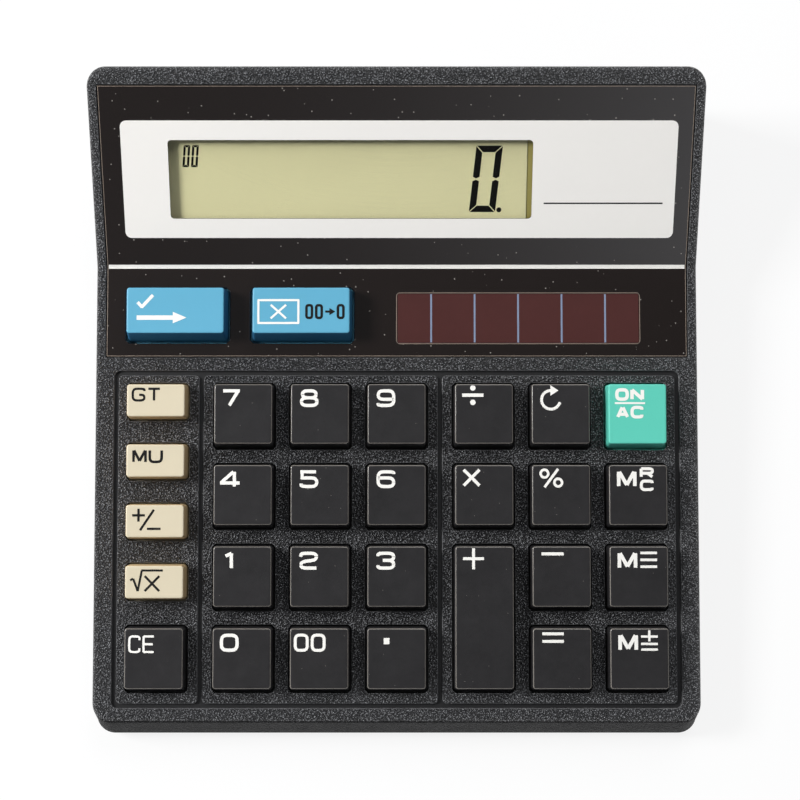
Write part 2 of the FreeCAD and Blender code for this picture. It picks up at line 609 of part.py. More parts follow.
def make_top_shell():
    """Deck, display wedge and outer walls as one moulding."""
    body = new_body("top_shell")
    crease = deck_spot("Dims.deck_run", "0")
    summit = display_spot("Dims.display_run", "0")
    outline = [("Layout.front_y", "Dims.parting_height"), crease, fold_spot("0"), summit,
               ("Layout.back_y", "Dims.parting_height")]
    feature(body, "Pad", "solid_wedge", polygon(side_sketch(body, "outer_profile"), outline),
            "Dims.case_width", symmetric=True)
    doc.recompute()
    soften(body, "Fillet", "corners", "Dims.corner_radius", upright)
    doc.recompute()
    soften(body, "Fillet", "rim", "Dims.edge_radius", top_rim)

    lean = "Dims.wall / cos(Dims.front_draft)"
    inner_crease_reach = f"Dims.deck_run - {lean} - Dims.skin * tan(Dims.front_draft)"
    ceiling = wall_underside("Layout.back_y - Dims.wall", None)
    hollow = [(f"Layout.front_y + {lean}", "Dims.parting_height"), deck_spot(inner_crease_reach, "Dims.skin"),
              fold_spot("Dims.skin"), ("Layout.back_y - Dims.wall", ceiling),
              ("Layout.back_y - Dims.wall", "Dims.parting_height")]
    feature(body, "Pocket", "hollow", polygon(side_sketch(body, "inner_profile"), hollow),
            "Dims.case_width - 2 * Dims.wall", symmetric=True)
    add_bosses(body)

    seat = bent_strip(side_sketch(body, "overlay_seat"), "-Dims.skin", "Layout.recess_depth", "Dims.plate_gap")
    feature(body, "Pocket", "overlay_recess", seat, "Dims.plate_width + 2 * Dims.plate_gap", symmetric=True)
    cut_grooves(body)
    for key in KEYS:
        key_hole(body, key)
    opening = display_sketch(body, "display_opening")
    edge = "Dims.pane_overlap + Dims.pane_gap"
    bevelled_rectangle(opening, (f"-Dims.window_left - ({edge})", f"Dims.window_reach - ({edge})"),
                       (f"Layout.window_right + {edge}", f"Layout.window_top + {edge}"), "Dims.window_corner")
    feature(body, "Pocket", "display_cut", opening, "Dims.skin")
    passage = deck_sketch(body, "wire_passage")
    for x in SOLAR_WIRES:
        facet_circle(passage, (x, f"-({SOLAR_WIRE_REACH})"), "Dims.wire_diameter + 2 * Dims.boss_clear")
    feature(body, "Pocket", "wire_holes", passage, "Dims.skin")


def bent_strip(sketch, top, bottom, spread):
    """Side view of a strip that lies along both planes, between two depths."""
    front = f"Dims.plate_front + {spread}"
    back = f"Dims.plate_back + {spread}"
    spots = [deck_spot(front, bottom), deck_spot(front, top), fold_spot(top), display_spot(back, top),
             display_spot(back, bottom), fold_spot(bottom)]
    return polygon(sketch, spots)


def cut_grooves(body):
    """Groove round and between the three key fields."""
    sketch = deck_sketch(body, "groove_lines")
    rounded_rectangle(sketch, ("-Layout.field_side", "-Dims.field_front"),
                      ("Layout.field_side", "-Dims.field_back"), "Dims.groove_corner")
    edges = ["-Layout.field_side + Dims.groove_width / 2", "Layout.left_divider", "Layout.right_divider",
             "Layout.field_side - Dims.groove_width / 2"]
    for left, right in zip(edges, edges[1:]):
        rounded_rectangle(sketch, (f"{left} + Dims.groove_width / 2", "-Dims.field_front + Dims.groove_width"),
                          (f"{right} - Dims.groove_width / 2", "-Dims.field_back - Dims.groove_width"),
                          "Dims.groove_corner - Dims.groove_width / 2")
    feature(body, "Pocket", "grooves", sketch, "Dims.groove_depth")


def add_bosses(body):
    """Screw bosses under the deck and the display, each with its pilot hole."""
    small_pilot = "Dims.small_shank + 2 * Dims.pilot_gap"
    for name, sketcher, spots, depth, side in (
            ("board", deck_sketch, BOARD_SCREWS, "Layout.board_top", "-"),
            ("lcd", display_sketch, LCD_SCREWS, "Layout.lcd_board_top", "")):
        stem = sketcher(body, f"{name}_bosses", depth)
        pilot = sketcher(body, f"{name}_pilots", depth)
        for x, reach in spots:
            facet_circle(stem, (x, f"{side}({reach})"), "Dims.board_boss")
            facet_circle(pilot, (x, f"{side}({reach})"), small_pilot)
        feature(body, "Pad", f"{name}_stems", stem, f"{depth} - Dims.skin + Dims.boss_root / 2")
        feature(body, "Pocket", f"{name}_bores", pilot, "Dims.small_bite + Dims.pilot_gap", reverse=True)
    for name, (y, reach) in CASE_SCREW_ROWS.items():
        stem = flat_sketch(body, f"{name}_case_bosses", "Dims.case_boss_end")
        for x in CASE_SCREW_SIDES:
            facet_circle(stem, (x, y), "Dims.case_boss")
        feature(body, "Pad", f"{name}_case_stems", stem,
                f"{wall_underside(y, reach)} - Dims.case_boss_end + Dims.boss_root")
    pilot = flat_sketch(body, "case_pilots", "Dims.case_boss_end")
    for spot in CASE_SCREWS:
        facet_circle(pilot, spot, "Dims.case_shank + 2 * Dims.pilot_gap")
    feature(body, "Pocket", "case_bores", pilot, "Dims.case_bite + Dims.pilot_gap", reverse=True)


SOLAR_WIRE_REACH = "Dims.cell_reach + Dims.cell_length / 2"
SOLAR_WIRES = [f"Dims.cell_left + Dims.cell_width / 2 {side} Dims.solar_wire_spread / 2" for side in "-+"]


def bay_profile(sketch, radius, foot):
    """Side view of the battery bay: upright sides under a half round."""
    centre = ("Layout.battery_y", "Layout.battery_z")
    middle = Vector(number(centre[0]), number(centre[1]), 0)
    size = number(radius)
    low = number(foot)
    left, right = middle.x - size, middle.x + size
    half_turn = FreeCAD.Units.parseQuantity("180 deg").getValueAs("rad").Value
    arc = sketch.addGeometry(Part.ArcOfCircle(Part.Circle(middle, Vector(0, 0, 1), size), 0, half_turn))
    corners = [Vector(left, middle.y, 0), Vector(left, low, 0),
               Vector(right, low, 0), Vector(right, middle.y, 0)]
    sides = [sketch.addGeometry(Part.LineSegment(*pair)) for pair in zip(corners, corners[1:])]
    sketch.addConstraint(Sketcher.Constraint("Tangent", arc, 2, sides[0], 1))
    sketch.addConstraint(Sketcher.Constraint("Coincident", sides[0], 2, sides[1], 1))
    sketch.addConstraint(Sketcher.Constraint("Coincident", sides[1], 2, sides[2], 1))
    sketch.addConstraint(Sketcher.Constraint("Tangent", sides[2], 2, arc, 1))
    sketch.addConstraint(Sketcher.Constraint("Vertical", sides[0]))
    sketch.addConstraint(Sketcher.Constraint("Horizontal", sides[1]))
    hold(sketch, *point_dimensions(arc, 3, centre), ("Radius", arc, radius),
         ("DistanceY", -1, 1, sides[1], 1, foot))
    return sketch


def case_outline(sketch, inset, radius):
    """Case seen from above at the parting line, drawn in by an inset."""
    side = f"Dims.case_width / 2 - ({inset})"
    return rounded_rectangle(sketch, (f"-({side})", f"Layout.front_y + ({inset})"),
                             (side, f"Layout.back_y - ({inset})"), radius)


def door_profile(sketch, spread):
    """End view of the battery door: a dovetail, wider inside than outside."""
    inside = f"Layout.door_half + {spread}"
    outside = f"{inside} - Dims.door_undercut"
    low = "Dims.foot_reveal"
    return polygon(sketch, [(f"-({outside})", low), (outside, low), (inside, f"Layout.door_top + {spread}"),
                            (f"-({inside})", f"Layout.door_top + {spread}")])


def rear_sketch(body, name):
    """Sketch on the rear face, seen from the front, X across and Z up."""
    sketch = sketch_in(body, name, "XZ_Plane")
    sketch.setExpression("AttachmentOffset.Base.z", "-Layout.back_y")
    return sketch


def make_bottom_shell():
    """Case floor with its low wall, screw posts and battery bay."""
    body = new_body("bottom_shell")
    foot = flat_sketch(body, "outline", "Dims.foot_reveal")
    feature(body, "Pad", "slab", case_outline(foot, "0", "Dims.corner_radius"),
            "Dims.parting_height - Dims.foot_reveal")
    doc.recompute()
    base = number("Dims.foot_reveal")
    soften(body, "Chamfer", "base_edge", "Dims.base_bevel",
           lambda edge: all(abs(vertex.Z - base) < FLAT_TOLERANCE for vertex in edge.Vertexes))
    tray = flat_sketch(body, "tray", "Dims.parting_height")
    feature(body, "Pocket", "tray_cut", case_outline(tray, "Dims.wall", "Dims.corner_radius - Dims.wall"),
            "Dims.parting_height - Layout.floor_top")
    posts = flat_sketch(body, "posts", "Dims.foot_reveal + Dims.floor / 2")
    heads = flat_sketch(body, "heads", "Dims.foot_reveal")
    holes = flat_sketch(body, "holes", "Dims.foot_reveal")
    for spot in CASE_SCREWS:
        facet_circle(posts, spot, "Dims.case_post")
        circle(heads, spot, "Dims.counterbore")
        facet_circle(holes, spot, "Dims.case_shank + 2 * Dims.pilot_gap")
    feature(body, "Pad", "screw_posts", posts, "Dims.case_boss_end - Dims.foot_reveal - Dims.floor / 2")
    bay = bay_profile(side_sketch(body, "bay"), "Layout.bay_radius + Dims.bay_wall",
                      "Dims.foot_reveal + Dims.floor / 2")
    feature(body, "Pad", "bay_walls", bay, "Layout.bay_length + 2 * Dims.bay_wall", symmetric=True)
    feature(body, "Pocket", "head_recesses", heads, "Dims.counterbore_depth", reverse=True)
    feature(body, "Pocket", "shank_holes", holes, "Dims.case_boss_end", reverse=True)
    room = bay_profile(side_sketch(body, "bay_room"), "Layout.bay_radius", "Dims.foot_reveal - Dims.floor")
    feature(body, "Pocket", "bay_cut", room, "Layout.bay_length", symmetric=True)
    tabs = side_sketch(body, "tab_slots")
    rectangle(tabs, *centred("Layout.battery_y", "Layout.battery_z", "Dims.tab_width + 2 * Dims.tab_gap",
                             "Dims.contact_thickness + 2 * Dims.tab_gap"))
    feature(body, "Pocket", "tab_cut", tabs, "Layout.bay_length + 2 * (Dims.bay_wall + Dims.tab_reach)",
            symmetric=True)
    slot = door_profile(rear_sketch(body, "door_slot"), "Dims.door_gap")
    feature(body, "Pocket", "door_recess", slot, "Layout.back_y - Layout.door_front + Dims.door_gap",
            reverse=True)
    seats = flat_sketch(body, "foot_seats", "Dims.foot_reveal")
    for spot in FEET:
        circle(seats, spot, "Dims.foot_diameter + 2 * Dims.foot_gap")
    feature(body, "Pocket", "foot_recesses", seats, "Dims.foot_seat", reverse=True)


FEET = [(x, y) for x in ("-Layout.foot_side", "Layout.foot_side")
        for y in ("Layout.foot_front", "Layout.foot_rear")]


def make_faceplate():
    """Bent glossy overlay with its two windows and two key openings."""
    body = new_body("faceplate")
    strip = bent_strip(side_sketch(body, "bent_sheet"), "Dims.plate_sink", "Layout.recess_depth", "0")
    feature(body, "Pad", "sheet", strip, "Dims.plate_width", symmetric=True)
    window = display_sketch(body, "window")
    bevelled_rectangle(window, ("-Dims.window_left", "Dims.window_reach"),
                       ("Layout.window_right", "Layout.window_top"), "Dims.window_corner")
    feature(body, "Pocket", "window_cut", window, "Dims.skin")
    cell = deck_sketch(body, "cell_window")
    bevelled_rectangle(cell, ("Dims.cell_left", "-Dims.cell_reach - Dims.cell_length"),
                       ("Dims.cell_left + Dims.cell_width", "-Dims.cell_reach"), "Dims.window_corner")
    feature(body, "Pocket", "cell_cut", cell, "Dims.skin")
    for key in WIDE_KEYS:
        key_hole(body, key)


def standing(body, kind, name, level, middle, sizes):
    """Primitive of a body that stands on a level, about a middle in Y."""
    made = body.newObject(f"PartDesign::{kind}Box", name)
    attach(body, made, "XY_Plane")
    for side, expression in zip(("Length", "Width", "Height"), sizes):
        made.setExpression(side, expression)
    width, length, _ = sizes
    for axis, expression in zip("xyz", (f"-({width}) / 2", f"{middle} - ({length}) / 2", level)):
        made.setExpression(f"AttachmentOffset.Base.{axis}", expression)
    body.Tip = made


def make_key(key):
    """Hollow tapered cap on a retaining flange, with a square plunger inside."""
    name, kind, x, reach = key
    body = new_body(f"key_{name}")
    place(body, x, deck_spot(reach, "0"), "Dims.deck_slope")
    cap = body.newObject("PartDesign::AdditiveWedge", "cap")
    attach(body, cap, "XZ_Plane")
    limits = {
        "Ymin": "-Layout.flange_top", "Ymax": kind["height"],
        "Xmax": f"({kind['hole_width']}) / 2 - Dims.key_gap", "X2max": f"({kind['top_width']}) / 2",
        "Zmax": f"({kind['hole_length']}) / 2 - Dims.key_gap",
        "Z2max": f"({kind['top_length']}) / 2 - {kind['shift']}",
    }
    limits["Xmin"] = f"-({limits['Xmax']})"
    limits["X2min"] = f"-({limits['X2max']})"
    limits["Zmin"] = f"-({limits['Zmax']})"
    limits["Z2min"] = f"-({kind['top_length']}) / 2 - {kind['shift']}"
    for limit, expression in limits.items():
        cap.setExpression(limit, expression)
    body.Tip = cap
    cap.recompute()
    base = number("-Layout.flange_top")
    soften(body, "Chamfer", "edges", "Dims.key_bevel",
           lambda edge: max(vertex.Z for vertex in edge.Vertexes) > base + FLAT_TOLERANCE)

    lip = (f"({kind['hole_width']}) + 2 * Dims.flange_lip",
           f"({kind['hole_length']}) + 2 * Dims.flange_lip", "Dims.flange_thickness")
    roof = f"Layout.flange_foot + ({kind['height']}) - Dims.key_wall"
    room = (f"({kind['top_width']}) - 2 * Dims.key_wall",
            f"({kind['top_length']}) - 2 * Dims.key_wall", roof)
    stem = ("Dims.plunger_width", "Dims.plunger_width", f"{roof} + Dims.key_wall / 2")
    standing(body, "Additive", "flange", "-Layout.flange_foot", "0", lip)
    standing(body, "Subtractive", "hollow", "-Layout.flange_foot", kind["shift"], room)
    standing(body, "Additive", "plunger", "-Layout.flange_foot", "0", stem)


def make_display():
    """Clear pane, film, glass, rubber connector and board of the display."""
    edge = "Dims.pane_overlap"
    left, right = f"-Dims.window_left - {edge}", f"Layout.window_right + {edge}"
    low, high = f"Dims.window_reach - {edge}", f"Layout.window_top + {edge}"
    pane_depth = "Layout.glass_top - Dims.film_thickness"
    pane_thickness = f"{pane_depth} - Layout.recess_depth"
    keep(display_block("Pane", left, right, low, high, "Layout.recess_depth", pane_thickness), "display_window")
    film_right = f"{right} - Dims.film_short"
    keep(display_block("Film", left, film_right, low, high, pane_depth, "Dims.film_thickness"), "lcd_polarizer")
    keep(display_block("Glass", "Layout.glass_left", "Layout.glass_right", "Layout.glass_low", "Layout.glass_high",
                       "Layout.glass_top", "Dims.glass_thickness"), "lcd_glass")
    keep(display_block("Zebra", "Layout.glass_left", "Layout.glass_right", "Layout.glass_low",
                       "Layout.glass_low + Dims.zebra_width", "Layout.glass_foot", "Dims.zebra_height"),
         "zebra_strip")
    board = display_block("LcdSheet", "Layout.glass_left - Dims.lcd_ear", "Layout.glass_right + Dims.lcd_ear",
                          "Layout.glass_low", "Layout.glass_high", "Layout.lcd_board_top", "Dims.board_thickness")
    holes = [prism(f"LcdHole{index}", "Dims.small_shank + 2 * Dims.pilot_gap", "Dims.board_thickness", x,
                 display_spot(reach, "Layout.lcd_board_foot"), "Dims.display_slope")
             for index, (x, reach) in enumerate(LCD_SCREWS)]
    keep(cut("LcdBoard", board, joined("LcdHoles", holes)), "lcd_board")


def make_boards():
    """Main board with the parts it carries, and the rubber sheet on it."""
    half = "Dims.board_width / 2"
    limits = (f"-{half}", half, "Dims.board_back", "Dims.board_front")
    sheet = deck_block("BoardSheet", *limits, "Layout.board_top", "Dims.board_thickness")
    holes = [prism(f"BoardHole{index}", "Dims.small_shank + 2 * Dims.pilot_gap", "Dims.board_thickness", x,
                 deck_spot(reach, "Layout.board_foot"), "Dims.deck_slope")
             for index, (x, reach) in enumerate(BOARD_SCREWS)]
    keep(cut("MainBoard", sheet, joined("BoardHoles", holes)), "main_board")

    rubber = deck_block("RubberSheet", *limits, "Layout.mat_top", "Dims.mat_thickness")
    domes = []
    for name, kind, x, reach in KEYS:
        dome = doc.addObject("Part::Wedge", f"Dome_{name}")
        for axis in "XZ":
            for end, sign in (("min", "-"), ("max", "")):
                dome.setExpression(f"{axis}{end}", f"{sign}Dims.dome_foot / 2")
                dome.setExpression(f"{axis}2{end}", f"{sign}Dims.dome_head / 2")
        dome.Ymin = 0
        dome.setExpression("Ymax", "Layout.mat_top - Layout.flange_foot - Dims.dome_gap")
        place(dome, x, deck_spot(reach, "Layout.mat_top"), f"{FULL_TURN / 4} + Dims.deck_slope")
        domes.append(dome)
    passing = [(x, reach, "Dims.board_boss") for x, reach in BOARD_SCREWS]
    passing += [(x, SOLAR_WIRE_REACH, "Dims.wire_diameter") for x in SOLAR_WIRES]
    gaps = [prism(f"RubberHole{index}", f"{diameter} + 2 * Dims.boss_clear", "Dims.mat_thickness", x,
                deck_spot(reach, "Layout.board_top"), "Dims.deck_slope")
            for index, (x, reach, diameter) in enumerate(passing)]
    keep(cut("Rubber", joined("RubberDomes", [rubber, *domes]), joined("RubberHoles", gaps)), "rubber_keypad")

    blob = new_body("controller_blob")
    place(blob, "0", deck_spot("Dims.blob_reach", "Layout.board_foot"), "Dims.deck_slope")
    half_view = side_sketch(blob, "half_view")
    polygon(half_view, [("0", "0"), ("0", "-Dims.blob_height"), ("Dims.blob_diameter / 4", "-Dims.blob_height"),
                        ("Dims.blob_diameter / 2", "0")])
    turned = blob.newObject("PartDesign::Revolution", "drop")
    turned.Profile = half_view
    turned.ReferenceAxis = (half_view, ["V_Axis"])
    blob.Tip = turned
    cans = [prism(f"Can{index}", "Dims.can_diameter", "Dims.can_height", f"{side} Dims.can_spacing / 2",
                deck_spot("Dims.can_reach", "Layout.board_foot + Dims.can_height"), "Dims.deck_slope")
            for index, side in enumerate("-+")]
    group("board_capacitors", cans)

    ribbon = new_body("ribbon_cable")
    outer = "Layout.board_foot + Dims.ribbon_thickness"
    far = "Layout.lcd_board_foot + Dims.ribbon_thickness"
    near_end = "Dims.board_back + Dims.ribbon_grip"
    far_end = "Layout.glass_low + Dims.ribbon_grip"
    spots = [deck_spot(near_end, "Layout.board_foot"), deck_spot("Dims.board_back", "Layout.board_foot"),
             display_spot("Layout.glass_low", "Layout.lcd_board_foot"),
             display_spot(far_end, "Layout.lcd_board_foot"), display_spot(far_end, far),
             display_spot("Layout.glass_low", far), deck_spot("Dims.board_back", outer), deck_spot(near_end, outer)]
    feature(ribbon, "Pad", "strip", polygon(side_sketch(ribbon, "side_view"), spots), "Dims.ribbon_width",
            symmetric=True)


def make_solar_cell():
    """Solar strip on the overlay's seat, in the overlay's window."""
    keep(deck_block("Cell", "Dims.cell_left + Dims.cell_gap", "Dims.cell_left + Dims.cell_width - Dims.cell_gap",
                    "Dims.cell_reach + Dims.cell_gap", "Dims.cell_reach + Dims.cell_length - Dims.cell_gap",
                    "Layout.recess_depth - Dims.cell_thickness", "Dims.cell_thickness"), "solar_cell")
    wires = [prism(f"SolarWire{index}", "Dims.wire_diameter", "Layout.board_top - Layout.recess_depth", x,
                 deck_spot(SOLAR_WIRE_REACH, "Layout.board_top"), "Dims.deck_slope")
             for index, x in enumerate(SOLAR_WIRES)]
    group("solar_leads", wires)


LEAD_SIDE = "Layout.bay_half + Dims.bay_wall + Dims.wire_diameter / 2 + Dims.pilot_gap"
LEAD_START = ("Layout.battery_y - Dims.tab_width / 2", "Layout.battery_z")
LEAD_END = deck_spot("Dims.lead_reach", "Layout.board_foot + Dims.wire_diameter / 2 + Dims.pilot_gap")


def contact_tab(name, x):
    """Solder tab that passes through the bay's end wall."""
    sizes = ("Dims.bay_wall + Dims.tab_reach", "Dims.tab_width", "Dims.contact_thickness")
    spot = ("Layout.battery_y - Dims.tab_width / 2", "Layout.battery_z - Dims.contact_thickness / 2")
    return block(name, sizes, x, spot, "0")


def make_battery():
    """Round cell, its two contacts and the sliding door."""
    cell = doc.addObject("Part::Cylinder", "CellCan")
    nub = doc.addObject("Part::Cylinder", "CellNub")
    start = "-Layout.bay_half + Dims.contact_thickness + Dims.leaf_depth"
    for rod_piece, diameter, length, x in (
            (cell, "Dims.battery_diameter", "Dims.battery_length", start),
            (nub, "Dims.nub_diameter", "Dims.nub_length", f"{start} + Dims.battery_length")):
        rod_piece.setExpression("Radius", f"{diameter} / 2")
        rod_piece.setExpression("Height", length)
        rod_piece.Placement = Placement(Vector(), Rotation(Vector(0, 1, 0), 90))
        for axis, expression in zip("xyz", (x, "Layout.battery_y", "Layout.battery_z")):
            rod_piece.setExpression(f"Placement.Base.{axis}", expression)
    keep(joined("Cell", [cell, nub]), "battery_cell")

    low = "Layout.battery_z - Dims.contact_height / 2"
    spot = ("Layout.battery_y - Dims.contact_width / 2", low)
    sizes = ("Dims.contact_thickness", "Dims.contact_width", "Dims.contact_height")
    plate = block("PlusPlate", sizes, "Layout.bay_half - Dims.contact_thickness", spot, "0")
    keep(joined("PlusContact", [plate, contact_tab("PlusTab", "Layout.bay_half")]), "battery_plus_contact")

    leaf = doc.addObject("PartDesign::Body", "LeafStrip")
    view = sketch_in(leaf, "strip_view", "XZ_Plane")
    view.setExpression("AttachmentOffset.Base.z", "-Layout.battery_y - Dims.contact_width / 2")
    back = "-Layout.bay_half"
    face = "-Layout.bay_half + Dims.contact_thickness"
    tip = f"{back} + Dims.contact_thickness + Dims.leaf_depth"
    high = "Layout.battery_z + Dims.contact_height / 2"
    polygon(view, [(back, low), (tip, "Layout.battery_z"), (tip, "Layout.battery_z + Dims.contact_thickness"),
                   (face, f"{low} + 2 * Dims.contact_thickness"), (face, high), (back, high)])
    feature(leaf, "Pad", "strip", view, "Dims.contact_width")
    outer = "-Layout.bay_half - Dims.bay_wall - Dims.tab_reach"
    keep(joined("MinusContact", [leaf, contact_tab("MinusTab", outer)]), "battery_minus_contact")
    wires = []
    for index, side in enumerate(("-", "")):
        run = f"sqrt((({LEAD_START[0]}) - ({LEAD_END[0]}))^2 + (({LEAD_START[1]}) - ({LEAD_END[1]}))^2)"
        fall = f"atan((({LEAD_START[1]}) - ({LEAD_END[1]})) / (({LEAD_START[0]}) - ({LEAD_END[0]})))"
        wires.append(prism(f"BatteryWire{index}", "Dims.wire_diameter", run, f"{side}({LEAD_SIDE})", LEAD_START,
                           f"90 deg + {fall}"))
    group("battery_leads", wires)

    door = new_body("battery_door")
    plate = door_profile(rear_sketch(door, "dovetail"), "0")
    feature(door, "Pad", "plate", plate, "Layout.back_y - Layout.door_front")
    grip = flat_sketch(door, "grip", "Dims.foot_reveal")
    for index in range(int(number("Dims.grip_count"))):
        row = f"Layout.back_y - Dims.door_border - {index} * Dims.grip_pitch"
        rectangle(grip, *centred("0", row, "Dims.grip_width", "Dims.grip_pitch / 2"))
    feature(door, "Pocket", "thumb_grip", grip, "Dims.grip_depth", reverse=True)


def screw(name, sizes, x, spot, shank_spot, slope):
    """Screw with a faceted head and a plain shank."""
    head, head_height, shank, shank_length = sizes
    return joined(name, [prism(f"{name}Head", head, head_height, x, spot, slope),
                         prism(f"{name}Shank", shank, shank_length, x, shank_spot, slope)])


def make_screws():
    """Three groups of identical screws."""
    small = ("Dims.small_head", "Dims.small_head_height", "Dims.small_shank",
             "Dims.board_thickness + Dims.small_bite")
    board = [screw(f"BoardScrew{index}", small, x,
                   deck_spot(reach, "Layout.board_foot + Dims.small_head_height"),
                   deck_spot(reach, "Layout.board_foot"), "Dims.deck_slope")
             for index, (x, reach) in enumerate(BOARD_SCREWS)]
    group("board_screws", board)
    display = [screw(f"LcdScrew{index}", small, x,
                     display_spot(reach, "Layout.lcd_board_foot + Dims.small_head_height"),
                     display_spot(reach, "Layout.lcd_board_foot"), "Dims.display_slope")
               for index, (x, reach) in enumerate(LCD_SCREWS)]
    group("lcd_screws", display)
    large = ("Dims.case_head", "Dims.case_head_height", "Dims.case_shank",
             "Dims.case_boss_end - Layout.screw_seat + Dims.case_bite")
    case = [screw(f"CaseScrew{index}", large, x, (y, "Layout.screw_seat - Dims.case_head_height"),
                  (y, "Layout.screw_seat"), "0") for index, (x, y) in enumerate(CASE_SCREWS)]
    group("case_screws", case)


def make_feet():
    """Four rubber pads in the case floor."""
    pads = [rod(f"Foot{index}", "Dims.foot_diameter", "Dims.foot_reveal + Dims.foot_seat", x, (y, "0"))
            for index, (x, y) in enumerate(FEET)]
    group("rubber_feet", pads)


def check_model():
    """Stops if any object failed or any sub-part has no sound solid."""
    doc.recompute()
    for item in doc.Objects:
        if {"Invalid", "Error"} & set(item.State):
            raise RuntimeError(f"{item.Name} ({item.Label}) failed: {item.State}")
    for piece in pieces:
        shape = piece.Shape
        if shape.isNull() or not shape.isValid() or not shape.Solids:
            raise RuntimeError(f"{piece.Label} has no sound solid")


def write_parts():
    """Writes one STEP file per sub-part."""
    os.makedirs("parts", exist_ok=True)
    for piece in pieces:
        piece.Shape.exportStep(f"parts/{piece.Label}.step")


make_top_shell()
make_bottom_shell()
make_faceplate()
for listed_key in KEYS:
    make_key(listed_key)
make_display()
make_boards()
make_solar_cell()
make_battery()
make_screws()
make_feet()
check_model()
write_parts()
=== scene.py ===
import logging
import math
from dataclasses import dataclass
from enum import Enum, IntEnum
from typing import Any, Callable, Sequence

import bmesh
import bpy
from mathutils import Matrix, Vector


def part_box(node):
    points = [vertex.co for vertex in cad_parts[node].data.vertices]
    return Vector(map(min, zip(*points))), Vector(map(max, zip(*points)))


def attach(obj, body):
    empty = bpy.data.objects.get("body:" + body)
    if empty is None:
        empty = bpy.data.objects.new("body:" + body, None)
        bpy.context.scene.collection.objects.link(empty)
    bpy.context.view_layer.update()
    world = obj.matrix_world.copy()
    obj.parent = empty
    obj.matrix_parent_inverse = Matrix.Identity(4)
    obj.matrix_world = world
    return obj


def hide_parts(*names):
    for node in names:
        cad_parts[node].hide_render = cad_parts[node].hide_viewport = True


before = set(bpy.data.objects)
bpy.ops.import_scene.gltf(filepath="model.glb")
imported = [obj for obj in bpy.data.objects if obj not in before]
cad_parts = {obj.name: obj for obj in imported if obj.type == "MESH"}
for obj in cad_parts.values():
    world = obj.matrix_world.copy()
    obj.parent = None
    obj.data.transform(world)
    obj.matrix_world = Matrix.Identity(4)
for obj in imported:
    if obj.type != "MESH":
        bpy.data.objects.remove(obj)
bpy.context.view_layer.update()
SHELL_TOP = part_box("top_shell")[1]

logging.basicConfig(level=logging.INFO, format="%(message)s")
log = logging.getLogger("desk_calculator")

MM = 0.001
ROOT = "case"
# Heights in millimetres: print over its surface, each printed shape over the one before, and the
# overlay's face below the case's.
PRINT_LIFT = 0.02
LAYER = 0.001
OVERLAY_SINK = 0.1
# Run of the solar cell's middle from the fold, in millimetres.
CELL_RUN = -12.2
Spot = tuple[float, float]


def hex_colour(code: str) -> tuple[float, float, float, float]:
    """Turns an sRGB hex colour into linear light.

    Args:
        code: six hex digits, such as "3A3C3E".

    Returns:
        Linear red, green, blue and an alpha of 1.
    """
    def linear(value: float) -> float:
        """One channel of sRGB as linear light."""
        return value / 12.92 if value <= 0.04045 else ((value + 0.055) / 1.055) ** 2.4

    red, green, blue = (linear(int(code[start:start + 2], 16) / 255) for start in (0, 2, 4))
    return red, green, blue, 1.0


def add_node(tree: bpy.types.NodeTree, kind: str, settings: dict[str, Any] | None = None,
             **links: Any) -> bpy.types.Node:
    """Adds one node with its settings and links.

    Args:
        tree: node tree that takes the node.
        kind: Blender's type name of the node.
        settings: attributes of the node.
        links: input name or "in_INDEX" to a value or to the output socket that feeds it.

    Returns:
        The new node.
    """
    node = tree.nodes.new(kind)
    for name, value in (settings or {}).items():
        setattr(node, name, value)
    for name, value in links.items():
        label = name.replace("_", " ")
        socket = node.inputs[int(name[3:])] if name.startswith("in_") else node.inputs[label]
        if isinstance(value, bpy.types.NodeSocket):
            tree.links.new(value, socket)
        else:
            socket.default_value = value
    return node


class Slope(Enum):
    """Planes of the case that carry parts, by their rise to the back in degrees."""
    DECK = 2.3
    DISPLAY = 26.0


@dataclass(frozen=True)
class CasePlanes:
    """The two planes that meet at the fold, in millimetres.

    Places on them are X and a run from the fold, positive to the back.
    """
    deck_run: float = 107.3
    display_run: float = 48.2
    crease_height: float = 11.8

    def fold(self) -> Vector:
        """Middle of the fold line in metres.

        Returns:
            The point.
        """
        back = SHELL_TOP.y
        deck, display = math.radians(Slope.DECK.value), math.radians(Slope.DISPLAY.value)
        height = self.crease_height + self.deck_run * math.sin(deck)
        return Vector((0.0, back - self.display_run * math.cos(display) * MM, height * MM))

    def matrix(self, plane: Slope, x: float = 0.0, run: float = 0.0, lift: float = 0.0) -> Matrix:
        """Placement that lays a flat drawing on a plane.

        Args:
            plane: deck or display.
            x: millimetres to the right.
            run: millimetres to the back from the fold.
            lift: millimetres above the plane.

        Returns:
            Matrix from the drawing, in metres, to the row frame.
        """
        turn = Matrix.Rotation(math.radians(plane.value), 4, "X")
        return Matrix.Translation(self.fold()) @ turn @ Matrix.Translation(Vector((x, run, lift)) * MM)


PLANES = CasePlanes()


# Finishes

# Widths of the patterns in millimetres: uneven colour, handling marks and the room around a pale speck,
# which is dust, and on the black keys also a painted glint.
CLOUD_WIDTH = 9.0
MARK_WIDTH = 4.0
SPECK_ROOM = 2.0
# Size at which a speck has faded out, for its own size, and how much of the colour under it a speck hides.
SPECK_FADE = 1.6
SPECK_SHARE = 0.5
# Share by which handling changes the roughness, and the roughness of a clear gloss.
ROUGHNESS_SPREAD = 0.2
COAT_ROUGHNESS = 0.06


@dataclass(frozen=True)
class Nodes:
    """What a finish works on: a material's tree, its Principled shader and the object coordinates."""
    tree: bpy.types.NodeTree
    shader: bpy.types.Node
    place: bpy.types.NodeSocket

    def feed(self, name: str, source: bpy.types.NodeSocket) -> None:
        """Links a socket to one of the shader's inputs."""
        self.tree.links.new(source, self.shader.inputs[name])


